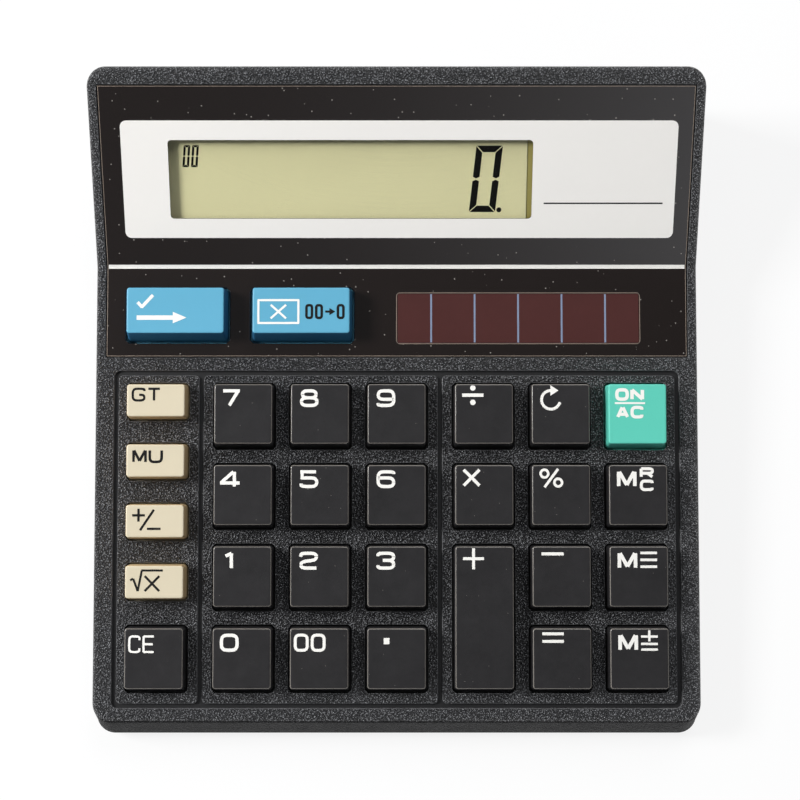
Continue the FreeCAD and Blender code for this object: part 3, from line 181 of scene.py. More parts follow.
@dataclass(frozen=True)
class Finish:
    """A moulded or printed surface: one colour, its gloss and a fine relief.

    Attributes:
        name: material name.
        colour: sRGB hex colour.
        roughness: middle roughness of the surface.
        grain: width of the relief's grain in millimetres.
        relief: height of the relief in millimetres.
        mottle: share by which the colour varies over the surface.
        coat: strength of a clear gloss over the colour.
        metallic: 1 for bare metal.
        specular: level of its reflection, 0.5 for a plain plastic.
        alpha: share of the surface that is not clear.
        speckle: size of the pale specks as a share of the room around each speck.
        dust_and_glint: sRGB hex colour of the specks: dust, and on the black keys also painted glints.
    """
    name: str
    colour: str
    roughness: float = 0.45
    grain: float = 0.6
    relief: float = 0.01
    mottle: float = 0.06
    coat: float = 0.0
    metallic: float = 0.0
    specular: float = 0.5
    alpha: float = 1.0
    speckle: float = 0.0
    dust_and_glint: str = "B9B4AC"

    def build(self) -> bpy.types.Material:
        """Makes the material once.

        Returns:
            The material.
        """
        known = bpy.data.materials.get(self.name)
        if known:
            return known
        material = bpy.data.materials.new(self.name)
        material.use_nodes = True
        tree = material.node_tree
        shader = tree.nodes["Principled BSDF"]
        even = {"Metallic": self.metallic, "Specular IOR Level": self.specular, "Coat Weight": self.coat,
                "Coat Roughness": COAT_ROUGHNESS, "Alpha": self.alpha}
        for name, value in even.items():
            shader.inputs[name].default_value = value
        nodes = Nodes(tree, shader, add_node(tree, "ShaderNodeTexCoord").outputs["Object"])
        self.paint(nodes)
        self.roughen(nodes)
        self.emboss(nodes)
        return material

    def scale(self, width: float) -> float:
        """Texture scale whose features are a width in millimetres."""
        return 1.0 / (width * MM)

    def paint(self, nodes: Nodes) -> None:
        """Base colour, slightly uneven, with pale specks where the finish has any: dust, and painted glints
        on the black keys.

        Args:
            nodes: the material's nodes.
        """
        tree, base = nodes.tree, hex_colour(self.colour)
        if not self.mottle:
            nodes.shader.inputs["Base Color"].default_value = base
            return
        cloud = add_node(tree, "ShaderNodeTexNoise", Vector=nodes.place, Scale=self.scale(CLOUD_WIDTH),
                         Detail=5.0, Roughness=0.85)
        dark, light = ([min(1.0, channel * share) for channel in base[:3]] + [1.0]
                       for share in (1 - self.mottle, 1 + self.mottle))
        colour = add_node(tree, "ShaderNodeMix", {"data_type": "RGBA"}, in_0=cloud.outputs["Fac"], in_6=dark,
                          in_7=light).outputs[2]
        if self.speckle:
            specks = add_node(tree, "ShaderNodeTexVoronoi", Vector=nodes.place, Scale=self.scale(SPECK_ROOM))
            share = add_node(tree, "ShaderNodeMapRange", Value=specks.outputs["Distance"],
                             From_Min=self.speckle, From_Max=self.speckle * SPECK_FADE, To_Min=SPECK_SHARE,
                             To_Max=0.0)
            colour = add_node(tree, "ShaderNodeMix", {"data_type": "RGBA"}, in_0=share.outputs[0],
                              in_6=colour, in_7=hex_colour(self.dust_and_glint)).outputs[2]
        nodes.feed("Base Color", colour)

    def roughen(self, nodes: Nodes) -> None:
        """Roughness that wanders with handling marks.

        Args:
            nodes: the material's nodes.
        """
        marks = add_node(nodes.tree, "ShaderNodeTexNoise", Vector=nodes.place, Scale=self.scale(MARK_WIDTH),
                         Detail=6.0, Roughness=0.65)
        spread = add_node(nodes.tree, "ShaderNodeMapRange", Value=marks.outputs["Fac"],
                          To_Min=self.roughness * (1 - ROUGHNESS_SPREAD),
                          To_Max=min(1.0, self.roughness * (1 + ROUGHNESS_SPREAD)))
        nodes.feed("Roughness", spread.outputs[0])

    def height(self, nodes: Nodes) -> bpy.types.NodeSocket:
        """Height of the fine relief, from 0 to 1.

        Args:
            nodes: the material's nodes.

        Returns:
            The height.
        """
        return add_node(nodes.tree, "ShaderNodeTexNoise", Vector=nodes.place, Scale=self.scale(self.grain),
                        Detail=3.0).outputs["Fac"]

    def emboss(self, nodes: Nodes) -> None:
        """Relief of the mould.

        Args:
            nodes: the material's nodes.
        """
        bump = add_node(nodes.tree, "ShaderNodeBump", Strength=1.0, Distance=self.relief * MM,
                        Height=self.height(nodes))
        nodes.feed("Normal", bump.outputs[0])


@dataclass(frozen=True)
class LeatherGrain(Finish):
    """ABS from an etched mould: low pebbles, with painted highlights on their tops and painted shade in the
    valleys.

    Attributes:
        lit_top: sRGB hex colour of the painted highlight on the pebbles' tops.
        shaded_valley: sRGB hex colour of the painted shade between the pebbles.
        wander: width in millimetres of the waves that set the pebbles out of order.
        reach: how far those waves move a pebble, in millimetres.
        scatter: share of fine noise in the pebbles' height.
        slope: distance from a pebble's middle at its foot and at its top, for its width.
        levels: uneven heights that count as 0 and as 1.
        glint_heights: heights at which the painted highlight starts and is full.
    """
    lit_top: str = "A6A7AA"
    shaded_valley: str = "141415"
    wander: float = 1.4
    reach: float = 0.6
    scatter: float = 0.8
    slope: Spot = (0.75, 0.1)
    levels: Spot = (0.3, 1.5)
    glint_heights: Spot = (0.5, 1.0)

    def height(self, nodes: Nodes) -> bpy.types.NodeSocket:
        """Height of the pebbles, from about 0 in the valleys to 1 on the tops.

        Args:
            nodes: the material's nodes.

        Returns:
            The height.
        """
        tree, place = nodes.tree, nodes.place
        waves = add_node(tree, "ShaderNodeTexNoise", Vector=place, Scale=self.scale(self.wander), Detail=2.0)
        shift = add_node(tree, "ShaderNodeVectorMath", {"operation": "SCALE"}, in_0=waves.outputs["Color"],
                         Scale=self.reach * MM)
        moved = add_node(tree, "ShaderNodeVectorMath", {"operation": "ADD"}, in_0=place,
                         in_1=shift.outputs[0])
        cells = add_node(tree, "ShaderNodeTexVoronoi", Vector=moved.outputs[0], Scale=self.scale(self.grain))
        fine = add_node(tree, "ShaderNodeTexNoise", Vector=place, Scale=self.scale(self.grain / 2),
                        Detail=3.0)
        rise = add_node(tree, "ShaderNodeMapRange", Value=cells.outputs["Distance"], From_Min=self.slope[0],
                        From_Max=self.slope[1])
        uneven = add_node(tree, "ShaderNodeMath", {"operation": "MULTIPLY_ADD"}, in_0=fine.outputs["Fac"],
                          in_1=self.scatter, in_2=rise.outputs[0])
        return add_node(tree, "ShaderNodeMapRange", Value=uneven.outputs[0], From_Min=self.levels[0],
                        From_Max=self.levels[1]).outputs[0]

    def paint(self, nodes: Nodes) -> None:
        """Painted shade in the valleys, and painted highlights on the highest tops.

        Args:
            nodes: the material's nodes.
        """
        height = self.height(nodes)
        # Painted shade: the colour darkens into the valleys between the pebbles.
        body = add_node(nodes.tree, "ShaderNodeMix", {"data_type": "RGBA"}, in_0=height,
                        in_6=hex_colour(self.shaded_valley), in_7=hex_colour(self.colour))
        # Painted highlight: the highest pebble tops turn pale.
        glint_share = add_node(nodes.tree, "ShaderNodeMapRange", Value=height, From_Min=self.glint_heights[0],
                        From_Max=self.glint_heights[1])
        coat = add_node(nodes.tree, "ShaderNodeMix", {"data_type": "RGBA"}, in_0=glint_share.outputs[0],
                        in_6=body.outputs[2], in_7=hex_colour(self.lit_top))
        nodes.feed("Base Color", coat.outputs[2])


# ABS from an etched mould: dark, with painted highlights on its pebbles' tops and painted shade between
# them. Their relief is drawn deeper than etching goes, so that it shows.
GRAINED_CASE = LeatherGrain("grained_black_abs", "4C4C4E", roughness=0.28, grain=0.46, relief=0.6)
# The same ABS on the front wall, painted darker as shade, with dim painted highlights on its pebbles.
SHADED_FRONT_CASE = LeatherGrain("shaded_front_abs", "202021", roughness=0.5, grain=0.46, relief=0.4, specular=0.1,
                          lit_top="444447", shaded_valley="0F0F10")
# Painted highlight along the mouldings' rounded edges: a thin paler line.
CASE_EDGE_HIGHLIGHT = Finish("painted_case_edge_highlight", "6A6A6C", roughness=0.3, grain=0.4, relief=0.004, mottle=0.2)
# ABS from the mould's polished parts, in grooves and openings: smooth and black, darker as painted shade.
SMOOTH_SHADED_CASE = Finish("polished_abs_painted_shade", "232324", roughness=0.4, specular=0.4, grain=0.3, relief=0.004)
# Acrylic sheet printed black behind: deep gloss that shows dust.
OVERLAY = Finish("black_acrylic_overlay", "1C1614", roughness=0.16, grain=2.5, relief=0.004, coat=0.5,
                 mottle=0.12, speckle=0.06)
# Painted highlight: a pale line along the acrylic sheet's cut edges.
EDGE_HIGHLIGHT = Finish("painted_edge_highlight", "8A7C70", roughness=0.4, grain=0.3, relief=0.005, mottle=0.3)
# Screen-printed inks: flat, even and opaque.
SILVER_PRINT = Finish("silver_white_print", "F4F1EC", roughness=0.35, grain=0.4, relief=0.002, mottle=0.02)
WHITE_PRINT = Finish("white_ink", "F2F0EA", roughness=0.5, grain=0.3, relief=0.003, mottle=0.02)
BLACK_PRINT = Finish("black_ink", "100E0D", roughness=0.6, grain=0.3, relief=0.003, mottle=0.04, specular=0.2)
# Moulded ABS with a satin skin: broad soft highlights. Black keys: pale specks of dust and painted glints,
# and painted highlights on their edges; beige walls painted lit, blue walls painted in shade.
BLACK_KEY = Finish("satin_black_keycap", "292829", roughness=0.3, grain=0.4, relief=0.03, mottle=0.5,
                   speckle=0.03)
KEY_EDGE_HIGHLIGHT = Finish("painted_key_edge_highlight", "76716B", roughness=0.22, grain=0.5, relief=0.004, mottle=0.2)
BEIGE_KEY = Finish("satin_beige_keycap", "D3C8AE", roughness=0.42, grain=0.35, relief=0.004, mottle=0.03)
LIT_BEIGE_WALL = Finish("painted_lit_beige_wall", "D6B98A", roughness=0.5, grain=0.5, relief=0.01, mottle=0.2)
GREEN_KEY = Finish("satin_green_keycap", "5DCAB5", roughness=0.4, grain=0.35, relief=0.004, mottle=0.03)
BLUE_KEY = Finish("satin_blue_keycap", "5DA8C6", roughness=0.4, grain=0.35, relief=0.004, mottle=0.03)
BLUE_WALL = Finish("shaded_blue_wall", "2F6C93", roughness=0.5, grain=0.5, relief=0.01, mottle=0.1,
                   specular=0.2)
# Clear acrylic: what lies under it shows, with a sharp reflection over it.
CLEAR_PANE = Finish("clear_acrylic", "1C1D1B", roughness=0.05, grain=3.0, relief=0.001, alpha=0.05,
                    mottle=0.0)
# Liquid-crystal cell: a pale matt film, tan glass beside it and dark figures without gloss.
LCD_FILM = Finish("grey_green_polarizer", "EEE9B6", roughness=0.35, grain=0.3, relief=0.002, mottle=0.02)
LCD_BORDER = Finish("bare_display_glass", "B1A65C", roughness=0.25, grain=0.5, relief=0.002)
LCD_INK = Finish("dark_liquid_crystal", "0B0B08", roughness=0.6, grain=0.3, relief=0.001, specular=0.1)
# Amorphous silicon on glass: dark red and glossy, with pale scribed lines.
SOLAR = Finish("amorphous_silicon", "4A2826", roughness=0.22, grain=0.4, relief=0.003, coat=0.3, mottle=0.15)
SOLAR_LINE = Finish("scribed_cell_line", "7F8CA6", roughness=0.35, grain=0.3, relief=0.002)
# Moulded rubbers: dull, without highlights.
RUBBER_FOOT = Finish("black_rubber", "222324", roughness=0.8, grain=0.25, relief=0.02, mottle=0.1)
GREY_RUBBER = Finish("grey_silicone", "8C8E8E", roughness=0.7, grain=0.4, relief=0.01)
# Plated steel and drawn aluminium: bright metal, a little cloudy.
STEEL = Finish("zinc_plated_steel", "9A9C9E", roughness=0.3, grain=0.2, relief=0.004, metallic=1.0)
CAN = Finish("aluminium_can", "B8BABC", roughness=0.3, grain=0.2, relief=0.003, metallic=1.0)
# Inside: brown paper board, glossy potting, and the sleeves of the cable, the wires and the cell.
BOARD = Finish("phenolic_board", "A98A4E", roughness=0.5, grain=0.5, relief=0.01, mottle=0.1)
POTTING = Finish("black_epoxy", "141416", roughness=0.25, grain=1.0, relief=0.02)
RIBBON = Finish("pale_flat_cable", "D8D6CF", roughness=0.5, grain=0.6, relief=0.02)
WIRE = Finish("red_wire_sleeve", "B43A32", roughness=0.45, grain=0.3, relief=0.01)
JACKET = Finish("plain_cell_jacket", "5A6470", roughness=0.3, grain=0.5, relief=0.005)

NODE_FINISHES = {
    "zebra_strip": GREY_RUBBER, "rubber_keypad": GREY_RUBBER, "lcd_board": BOARD, "main_board": BOARD,
    "controller_blob": POTTING, "board_capacitors": CAN, "ribbon_cable": RIBBON, "solar_leads": WIRE,
    "battery_leads": WIRE, "battery_cell": JACKET, "battery_plus_contact": STEEL,
    "battery_minus_contact": STEEL, "board_screws": STEEL, "lcd_screws": STEEL, "lcd_glass": LCD_BORDER,
    "display_window": CLEAR_PANE,
}


class KeyFace(IntEnum):
    """Material indices of a key."""
    BODY = 0
    INK = 1
    DARK_INK = 2
    WALL = 3
    EDGE = 4


class CaseFace(IntEnum):
    """Material indices of a moulding of the case."""
    GRAINED = 0
    SMOOTH = 1
    FRONT = 2
    EDGE = 3


class PrintFace(IntEnum):
    """Material indices of the overlay's print."""
    SILVER = 0
    WHITE = 1
    BLACK = 2
    EDGE_HIGHLIGHT = 3


class CellFace(IntEnum):
    """Material indices of the display's film and of the solar cell."""
    GROUND = 0
    MARK = 1


# Mesh helpers

# Vertices nearer than this many millimetres are one, and faces within this many degrees are flat.
MERGE_DISTANCE = 0.001
FLAT_ANGLE = 1.0


def finished(name: str, mesh: bpy.types.Mesh, finishes: Sequence[Finish], body: str = ROOT,
             nodes: Sequence[str] = ()) -> bpy.types.Object:
    """Links a mesh as a finished piece of the object.

    Args:
        name: name of the piece.
        mesh: its mesh, in the row frame.
        finishes: its finishes, in the order of the mesh's material indices.
        body: CAD body that it rides on.
        nodes: CAD nodes that it stands for.

    Returns:
        The new object.
    """
    for finish in finishes[len(mesh.materials):]:
        mesh.materials.append(finish.build())
    piece = bpy.data.objects.new(name, mesh)
    bpy.context.scene.collection.objects.link(piece)
    if nodes:
        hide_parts(*nodes)
    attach(piece, body)
    log.info("%s: %d faces", name, len(mesh.polygons))
    return piece


def loops_to_faces(form: bmesh.types.BMesh, rings: Sequence[Sequence[bmesh.types.BMVert]]) -> None:
    """Joins each ring of vertices to the next with quads.

    Args:
        form: mesh that takes the faces.
        rings: closed rings of equal length.
    """
    for low, high in zip(rings, rings[1:]):
        for count in range(len(low)):
            after = (count + 1) % len(low)
            form.faces.new((low[count], low[after], high[after], high[count]))


def shifted(points: Sequence[Spot], x: float, y: float) -> list[Spot]:
    """Points of an outline, moved to a place."""
    return [(x + across, y + along) for across, along in points]


def rounded_outline(half_x: float, half_y: float, radius: float, steps: int = 5) -> list[Spot]:
    """Points of a rounded rectangle, anticlockwise.

    Args:
        half_x: half its width.
        half_y: half its length.
        radius: corner radius.
        steps: parts of each corner.

    Returns:
        Points about the origin.
    """
    corners = ((1, 1, 0), (-1, 1, 90), (-1, -1, 180), (1, -1, 270))
    points = []
    for sign_x, sign_y, start in corners:
        for step in range(steps + 1):
            angle = math.radians(start + 90 * step / steps)
            points.append((sign_x * (half_x - radius) + radius * math.cos(angle),
                           sign_y * (half_y - radius) + radius * math.sin(angle)))
    return points


def rounded_path(points: Sequence[Spot], radius: float, steps: int = 4) -> list[Vector]:
    """Points of a path whose corners are rounded.

    Args:
        points: corners of the path, the first repeated at the end if it is closed.
        radius: how far from a corner its rounding starts.
        steps: parts of each rounding.

    Returns:
        The path's points, without the repeated one.
    """
    corners = [Vector(point) for point in points]
    closed = points[0] == points[-1]
    if closed:
        corners.pop()
    path = []
    for index, corner in enumerate(corners):
        if not closed and index in (0, len(corners) - 1):
            path.append(corner)
            continue
        before, after = corners[index - 1], corners[(index + 1) % len(corners)]
        start = corner + (before - corner).normalized() * min(radius, (before - corner).length / 2)
        end = corner + (after - corner).normalized() * min(radius, (after - corner).length / 2)
        for step in range(steps + 1):
            share = step / steps
            path.append(start.lerp(corner, share).lerp(corner.lerp(end, share), share))
    return path


# Square-built figures and capitals: each is one or more strokes on a unit box.
GLYPH_GAP = 0.11
GLYPH_CORNER = 0.3
# A stroke widens at a bend to its width over this share at most.
BEND_SHARE = 0.5
BOWL = [(0, 0), (1, 0), (1, 1), (0, 1), (0, 0)]
GLYPHS: dict[str, list[list[Spot]]] = {
    "0": [BOWL], "1": [[(0.22, 0.8), (0.6, 1)], [(0.6, 1), (0.6, 0)]],
    "2": [[(0, 0.76), (0, 1), (1, 1), (1, 0.55), (0, 0.42), (0, 0), (1, 0)]],
    "3": [[(0, 0.8), (0, 1), (1, 1), (1, 0.52), (0.3, 0.52)],
          [(0.3, 0.52), (1, 0.52), (1, 0), (0, 0), (0, 0.2)]],
    "4": [[(0.76, 0), (0.76, 1)], [(0.7, 1), (-0.1, 0.26)], [(-0.16, 0.24), (1.1, 0.24)]],
    "5": [[(0.95, 1), (-0.06, 1)], [(0.06, 1), (0.06, 0.5)],
          [(0, 0.58), (1, 0.58), (1, 0), (0, 0), (0, 0.2)]],
    "6": [[(1, 0.84), (1, 1), (0, 1), (0, 0), (1, 0), (1, 0.58), (0, 0.58)]],
    "7": [[(0, 1), (1.08, 1)], [(0.97, 1), (0.4, 0)]],
    "8": [[(0, 0), (1, 0), (1, 0.52), (0, 0.52), (0, 0)],
          [(0.06, 0.52), (0.94, 0.52), (0.94, 1), (0.06, 1), (0.06, 0.52)]],
    "9": [[(0, 0.16), (0, 0), (1, 0), (1, 1), (0, 1), (0, 0.42), (1, 0.42)]],
    "A": [[(0, 0), (0.46, 1)], [(0.54, 1), (1, 0)], [(0.18, 0.28), (0.82, 0.28)]],
    "C": [[(1, 0.76), (1, 1), (0, 1), (0, 0), (1, 0), (1, 0.24)]],
    "E": [[(1, 1), (0, 1)], [(0, 1), (0, 0)], [(0, 0), (1, 0)], [(0, 0.5), (0.9, 0.5)]],
    "G": [[(1, 0.8), (1, 1), (0, 1), (0, 0), (1, 0), (1, 0.48), (0.55, 0.48)]],
    "M": [[(0, 0), (0, 1)], [(0.04, 1), (0.5, 0.08)], [(0.5, 0.08), (0.96, 1)], [(1, 1), (1, 0)]],
    "N": [[(0, 0), (0, 1)], [(0, 1), (1, 0)], [(1, 0), (1, 1)]], "O": [BOWL],
    "R": [[(0, 0), (0, 1)], [(0, 1), (1, 1), (1, 0.44), (0, 0.44)], [(0.55, 0.44), (1, 0)]],
    "T": [[(0, 1), (1, 1)], [(0.5, 1), (0.5, 0)]], "U": [[(0, 1), (0, 0), (1, 0), (1, 1)]],
}


class Drawing:
    """Flat artwork in millimetres, made of filled outlines and words.

    Each shape lies a little over the one before, so that no two share a plane.
    """

    def __init__(self) -> None:
        """Starts an empty drawing."""
        self.form = bmesh.new()
        self.level = 0.0

    def corner(self, x: float, y: float) -> bmesh.types.BMVert:
        """A corner on the present level."""
        return self.form.verts.new((x * MM, y * MM, self.level * MM))

    def fill(self, points: Sequence[Spot]) -> None:
        """Adds one filled outline of anticlockwise points."""
        self.level += LAYER
        self.form.faces.new([self.corner(x, y) for x, y in points])

    def bar(self, left: float, low: float, right: float, high: float) -> None:
        """Adds a filled rectangle."""
        self.fill([(left, low), (right, low), (right, high), (left, high)])

    def stroke(self, start: Spot, end: Spot, width: float) -> None:
        """Adds a straight stroke.

        Args:
            start: middle of one end.
            end: middle of the other end.
            width: stroke width.
        """
        along = Vector((end[0] - start[0], end[1] - start[1])).normalized() * (width / 2)
        side = Vector((-along.y, along.x))
        self.fill([(start[0] - side.x, start[1] - side.y), (end[0] - side.x, end[1] - side.y),
                   (end[0] + side.x, end[1] + side.y), (start[0] + side.x, start[1] + side.y)])

    def ring(self, outer: Sequence[Spot], inner: Sequence[Spot]) -> None:
        """Adds the band between two outlines of equal length."""
        self.level += LAYER
        loops_to_faces(self.form, [[self.corner(x, y) for x, y in points] for points in (outer, inner)])

    def path(self, points: Sequence[Spot], width: float, corner: float) -> None:
        """Adds a stroke along a path with rounded corners.

        Args:
            points: corners of the path, the first repeated at the end if it is closed.
            width: stroke width.
            corner: radius of its corners.
        """
        self.level += LAYER
        closed = points[0] == points[-1]
        spots = rounded_path(points, corner)
        sides: tuple[list[bmesh.types.BMVert], list[bmesh.types.BMVert]] = ([], [])
        for index, spot in enumerate(spots):
            before = spots[index - 1] if index or closed else spot
            after = spots[(index + 1) % len(spots)] if index + 1 < len(spots) or closed else spot
            into = (spot - before).normalized() if before != spot else (after - spot).normalized()
            out = (after - spot).normalized() if after != spot else into
            across = (into + out).normalized().orthogonal() * (width / 2)
            across /= max(BEND_SHARE, across.normalized().dot(out.orthogonal()))
            for side, sign in zip(sides, (-1, 1)):
                place = spot + across * sign
                side.append(self.corner(place.x, place.y))
        count = len(spots)
        for index in range(count if closed else count - 1):
            after = (index + 1) % count
            self.form.faces.new((sides[0][index], sides[0][after], sides[1][after], sides[1][index]))

    def word(self, text: str, left: float, top: float, height: float, width: float,
             stroke: float) -> None:
        """Adds a word in plain square-built figures, fitted into a box.

        Args:
            text: what it says.
            left: left edge.
            top: upper edge.
            height: height of the word.
            width: width of the word.
            stroke: stroke width.
        """
        gap = GLYPH_GAP * height
        each = (width - gap * (len(text) - 1)) / len(text)
        for index, letter in enumerate(text):
            start = left + index * (each + gap) + stroke / 2
            low = top - height + stroke / 2
            for line in GLYPHS[letter]:
                spots = [(start + x * (each - stroke), low + y * (height - stroke)) for x, y in line]
                self.path(spots, stroke, GLYPH_CORNER * min(each, height))

    def stamp(self, target: bmesh.types.BMesh, matrix: Matrix, index: int) -> None:
        """Lays the drawing into another mesh, facing up from its plane, and closes it.

        Args:
            target: mesh that takes the artwork.
            matrix: placement of the drawing.
            index: material index of its faces.
        """
        for face in self.form.faces:
            face.material_index = index
            face.normal_update()
            if face.normal.z < 0:
                face.normal_flip()
        self.form.transform(matrix)
        flat = bpy.data.meshes.new("artwork")
        self.form.to_mesh(flat)
        self.form.free()
        target.from_mesh(flat)
        bpy.data.meshes.remove(flat)


def node_form(node: str) -> bmesh.types.BMesh:
    """Merged copy of a CAD node's mesh, with its flat faces whole.

    Args:
        node: name of the CAD node.

    Returns:
        The copy, in the row frame.
    """
    form = bmesh.new()
    form.from_mesh(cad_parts[node].data)
    bmesh.ops.remove_doubles(form, verts=form.verts, dist=MERGE_DISTANCE * MM)
    bmesh.ops.dissolve_limit(form, angle_limit=math.radians(FLAT_ANGLE), verts=form.verts, edges=form.edges)
    return form


def to_mesh(form: bmesh.types.BMesh, name: str, smooth: float | None = None) -> bpy.types.Mesh:
    """Turns a form into a mesh.

    Args:
        form: the form, which is freed.
        name: name of the mesh.
        smooth: angle in degrees under which edges are shaded smooth.

    Returns:
        The mesh.
    """
    mesh = bpy.data.meshes.new(name)
    form.to_mesh(mesh)
    form.free()
    if smooth is not None:
        mesh.shade_smooth()
        mesh.set_sharp_from_angle(angle=math.radians(smooth))
    return mesh


def soften_edges(piece: bpy.types.Object, width: float, segments: int = 2, angle: float = 30.0,
                 finish: int = -1) -> None:
    """Rounds a piece's sharp edges with a bevel.

    Args:
        piece: the piece.
        width: bevel width in millimetres.
        segments: steps of the rounding.
        angle: edges sharper than this are rounded, in degrees.
        finish: material index of the rounding, or -1 for that of the faces beside it.
    """
    bevel = piece.modifiers.new("edge_rounding", "BEVEL")
    bevel.width = width * MM
    bevel.segments = segments
    bevel.limit_method = "ANGLE"
    bevel.angle_limit = math.radians(angle)
    bevel.harden_normals = True
    bevel.use_clamp_overlap = True
    bevel.material = finish


# Keys

@dataclass(frozen=True)
class KeyKind:
    """Sizes of one kind of key in millimetres, as in the part's source.

    Attributes:
        hole_width: width of its opening in the deck.
        hole_length: length of that opening.
        top_width: width of the crown.
        top_length: length of the crown.
        shift: how far the crown lies behind the middle of the opening.
        height: height of the crown over the deck.
        flange: depth of the flange's underside below the deck.
        foot: depth of the flange's upper side.
        foot_band: height of the upright band at the foot of the walls.
        gap: room between the walls' foot and the opening.
        lip: how far the flange reaches past the opening.
        edge: radius of the crown's edge.
        dish: depth of the crown's middle below its edge.
        dish_inset: width of the slope down to it.
        flange_corner, foot_corner, crown_corner, dish_corner: corner radii from below to above.
        corner_share: how much a corner's radius shrinks as the edge rounds in.
    """
    hole_width: float = 15.0
    hole_length: float = 16.0
    top_width: float = 13.6
    top_length: float = 14.0
    shift: float = 0.35
    height: float = 4.3
    flange: float = 3.1
    foot: float = 2.3
    foot_band: float = 0.1
    gap: float = 0.35
    lip: float = 0.8
    edge: float = 0.3
    dish: float = 0.03
    dish_inset: float = 0.5
    flange_corner: float = 0.6
    foot_corner: float = 0.9
    crown_corner: float = 0.65
    dish_corner: float = 0.4
    corner_share: float = 0.8

    def sections(self, steps: int = 5) -> list[tuple[float, float, float, float, float]]:
        """Sections of the cap from the flange to the crown.

        Args:
            steps: parts of the edge's rounding.

        Returns:
            Half width, half length, shift, height and corner radius of each.
        """
        foot_x, foot_y = self.hole_width / 2 - self.gap, self.hole_length / 2 - self.gap
        lip_x, lip_y = foot_x + self.gap + self.lip, foot_y + self.gap + self.lip
        top_x, top_y = self.top_width / 2, self.top_length / 2
        rings = [(lip_x, lip_y, 0.0, -self.flange, self.flange_corner),
                 (lip_x, lip_y, 0.0, -self.foot, self.flange_corner),
                 (foot_x, foot_y, 0.0, -self.foot, self.foot_corner),
                 (foot_x, foot_y, 0.0, -self.foot + self.foot_band, self.foot_corner)]
        for step in range(steps + 1):
            angle = math.radians(90 * step / steps)
            inward = self.edge * (1 - math.cos(angle))
            rings.append((top_x - inward, top_y - inward, self.shift,
                          self.height - self.edge + self.edge * math.sin(angle),
                          self.crown_corner - inward * self.corner_share))
        rings.append((top_x - self.edge - self.dish_inset, top_y - self.edge - self.dish_inset, self.shift,
                      self.height - self.dish, self.dish_corner))
        return rings


STANDARD = KeyKind()
TALL = KeyKind(hole_length=35.0, top_length=33.0)
LOW = KeyKind(hole_length=9.15, top_length=7.6, shift=0.1)
WIDE = KeyKind(hole_width=24.7, hole_length=13.3, top_width=22.9, top_length=10.8, shift=0.65, height=5.0)


class Legend(Drawing):
    """Print on a key, by inset from its left edge and drop from its rear edge, in millimetres.

    Each method adds marks and returns the legend, so that one can follow another.
    """

    def sign(self, text: str, height: float, width: float, inset: float = 2.1, drop: float = 1.2,
             stroke: float = 0.76) -> "Legend":
        """Adds a number or a sign of capitals, with its upper left corner at an inset and a drop."""
        self.word(text, inset, -drop, height, width, stroke)
        return self

    def bars(self, *rows: tuple[float, float, float, float]) -> "Legend":
        """Adds plain bars.

        Args:
            rows: inset, drop, width and thickness of each bar.

        Returns:
            The legend.
        """
        for inset, drop, width, thickness in rows:
            self.bar(inset, -drop - thickness, inset + width, -drop)
        return self

    def strokes(self, *lines: tuple[float, float, float, float], width: float = 0.6) -> "Legend":
        """Adds straight strokes.

        Args:
            lines: start and end of each stroke as inset, drop, inset and drop.
            width: stroke width.

        Returns:
            The legend.
        """
        for start_x, start_drop, end_x, end_drop in lines:
            self.stroke((start_x, -start_drop), (end_x, -end_drop), width)
        return self

    def circle(self, inset: float, drop: float, size: float, stroke: float = 0.6) -> "Legend":
        """Adds a small ring.

        Args:
            inset: inset of its middle.
            drop: drop of its middle.
            size: its diameter.
            stroke: stroke width.

        Returns:
            The legend.
        """
        self.ring(*(shifted(rounded_outline(radius, radius, radius), inset, -drop)
                    for radius in (size / 2, size / 2 - stroke)))
        return self

    def arrow_head(self, inset: float, drop: float, length: float, width: float) -> "Legend":
        """Adds a solid arrow head that points to the right, by the middle of its back."""
        self.fill([(inset, -drop - width / 2), (inset + length, -drop), (inset, -drop + width / 2)])
        return self

    def turning_arrow(self, inset: float, drop: float, radius: float, stroke: float = 0.66,
                      head: Spot = (1.9, 2.5), overlap: float = 0.1) -> "Legend":
        """Adds an arrow that runs round most of a circle.

        Args:
            inset: inset of the circle's middle.
            drop: drop of the circle's middle.
            radius: radius of the circle.
            stroke: stroke width.
            head: length and width of the arrow head.
            overlap: how far the head reaches over the stroke's end.

        Returns:
            The legend.
        """
        turns = [math.radians(turn) for turn in range(15, 271, 15)]
        spots = [(inset + radius * math.cos(turn), drop + radius * math.sin(turn)) for turn in turns]
        self.strokes(*((*start, *end) for start, end in zip(spots, spots[1:])), width=stroke)
        return self.arrow_head(inset - overlap, drop - radius, *head)


# How far a key's faces face up, from 0 to 1: walls less than the first, painted edge highlights between the
# others.
WALL_TILT = 0.5
EDGE_TILT = (0.4, 0.98)
# Depth of a legend below the rim of the crown, in millimetres.
LEGEND_SINK = 0.005
# Angle in degrees under which a cap's edges are shaded smooth.
CAP_SMOOTH = 35.0


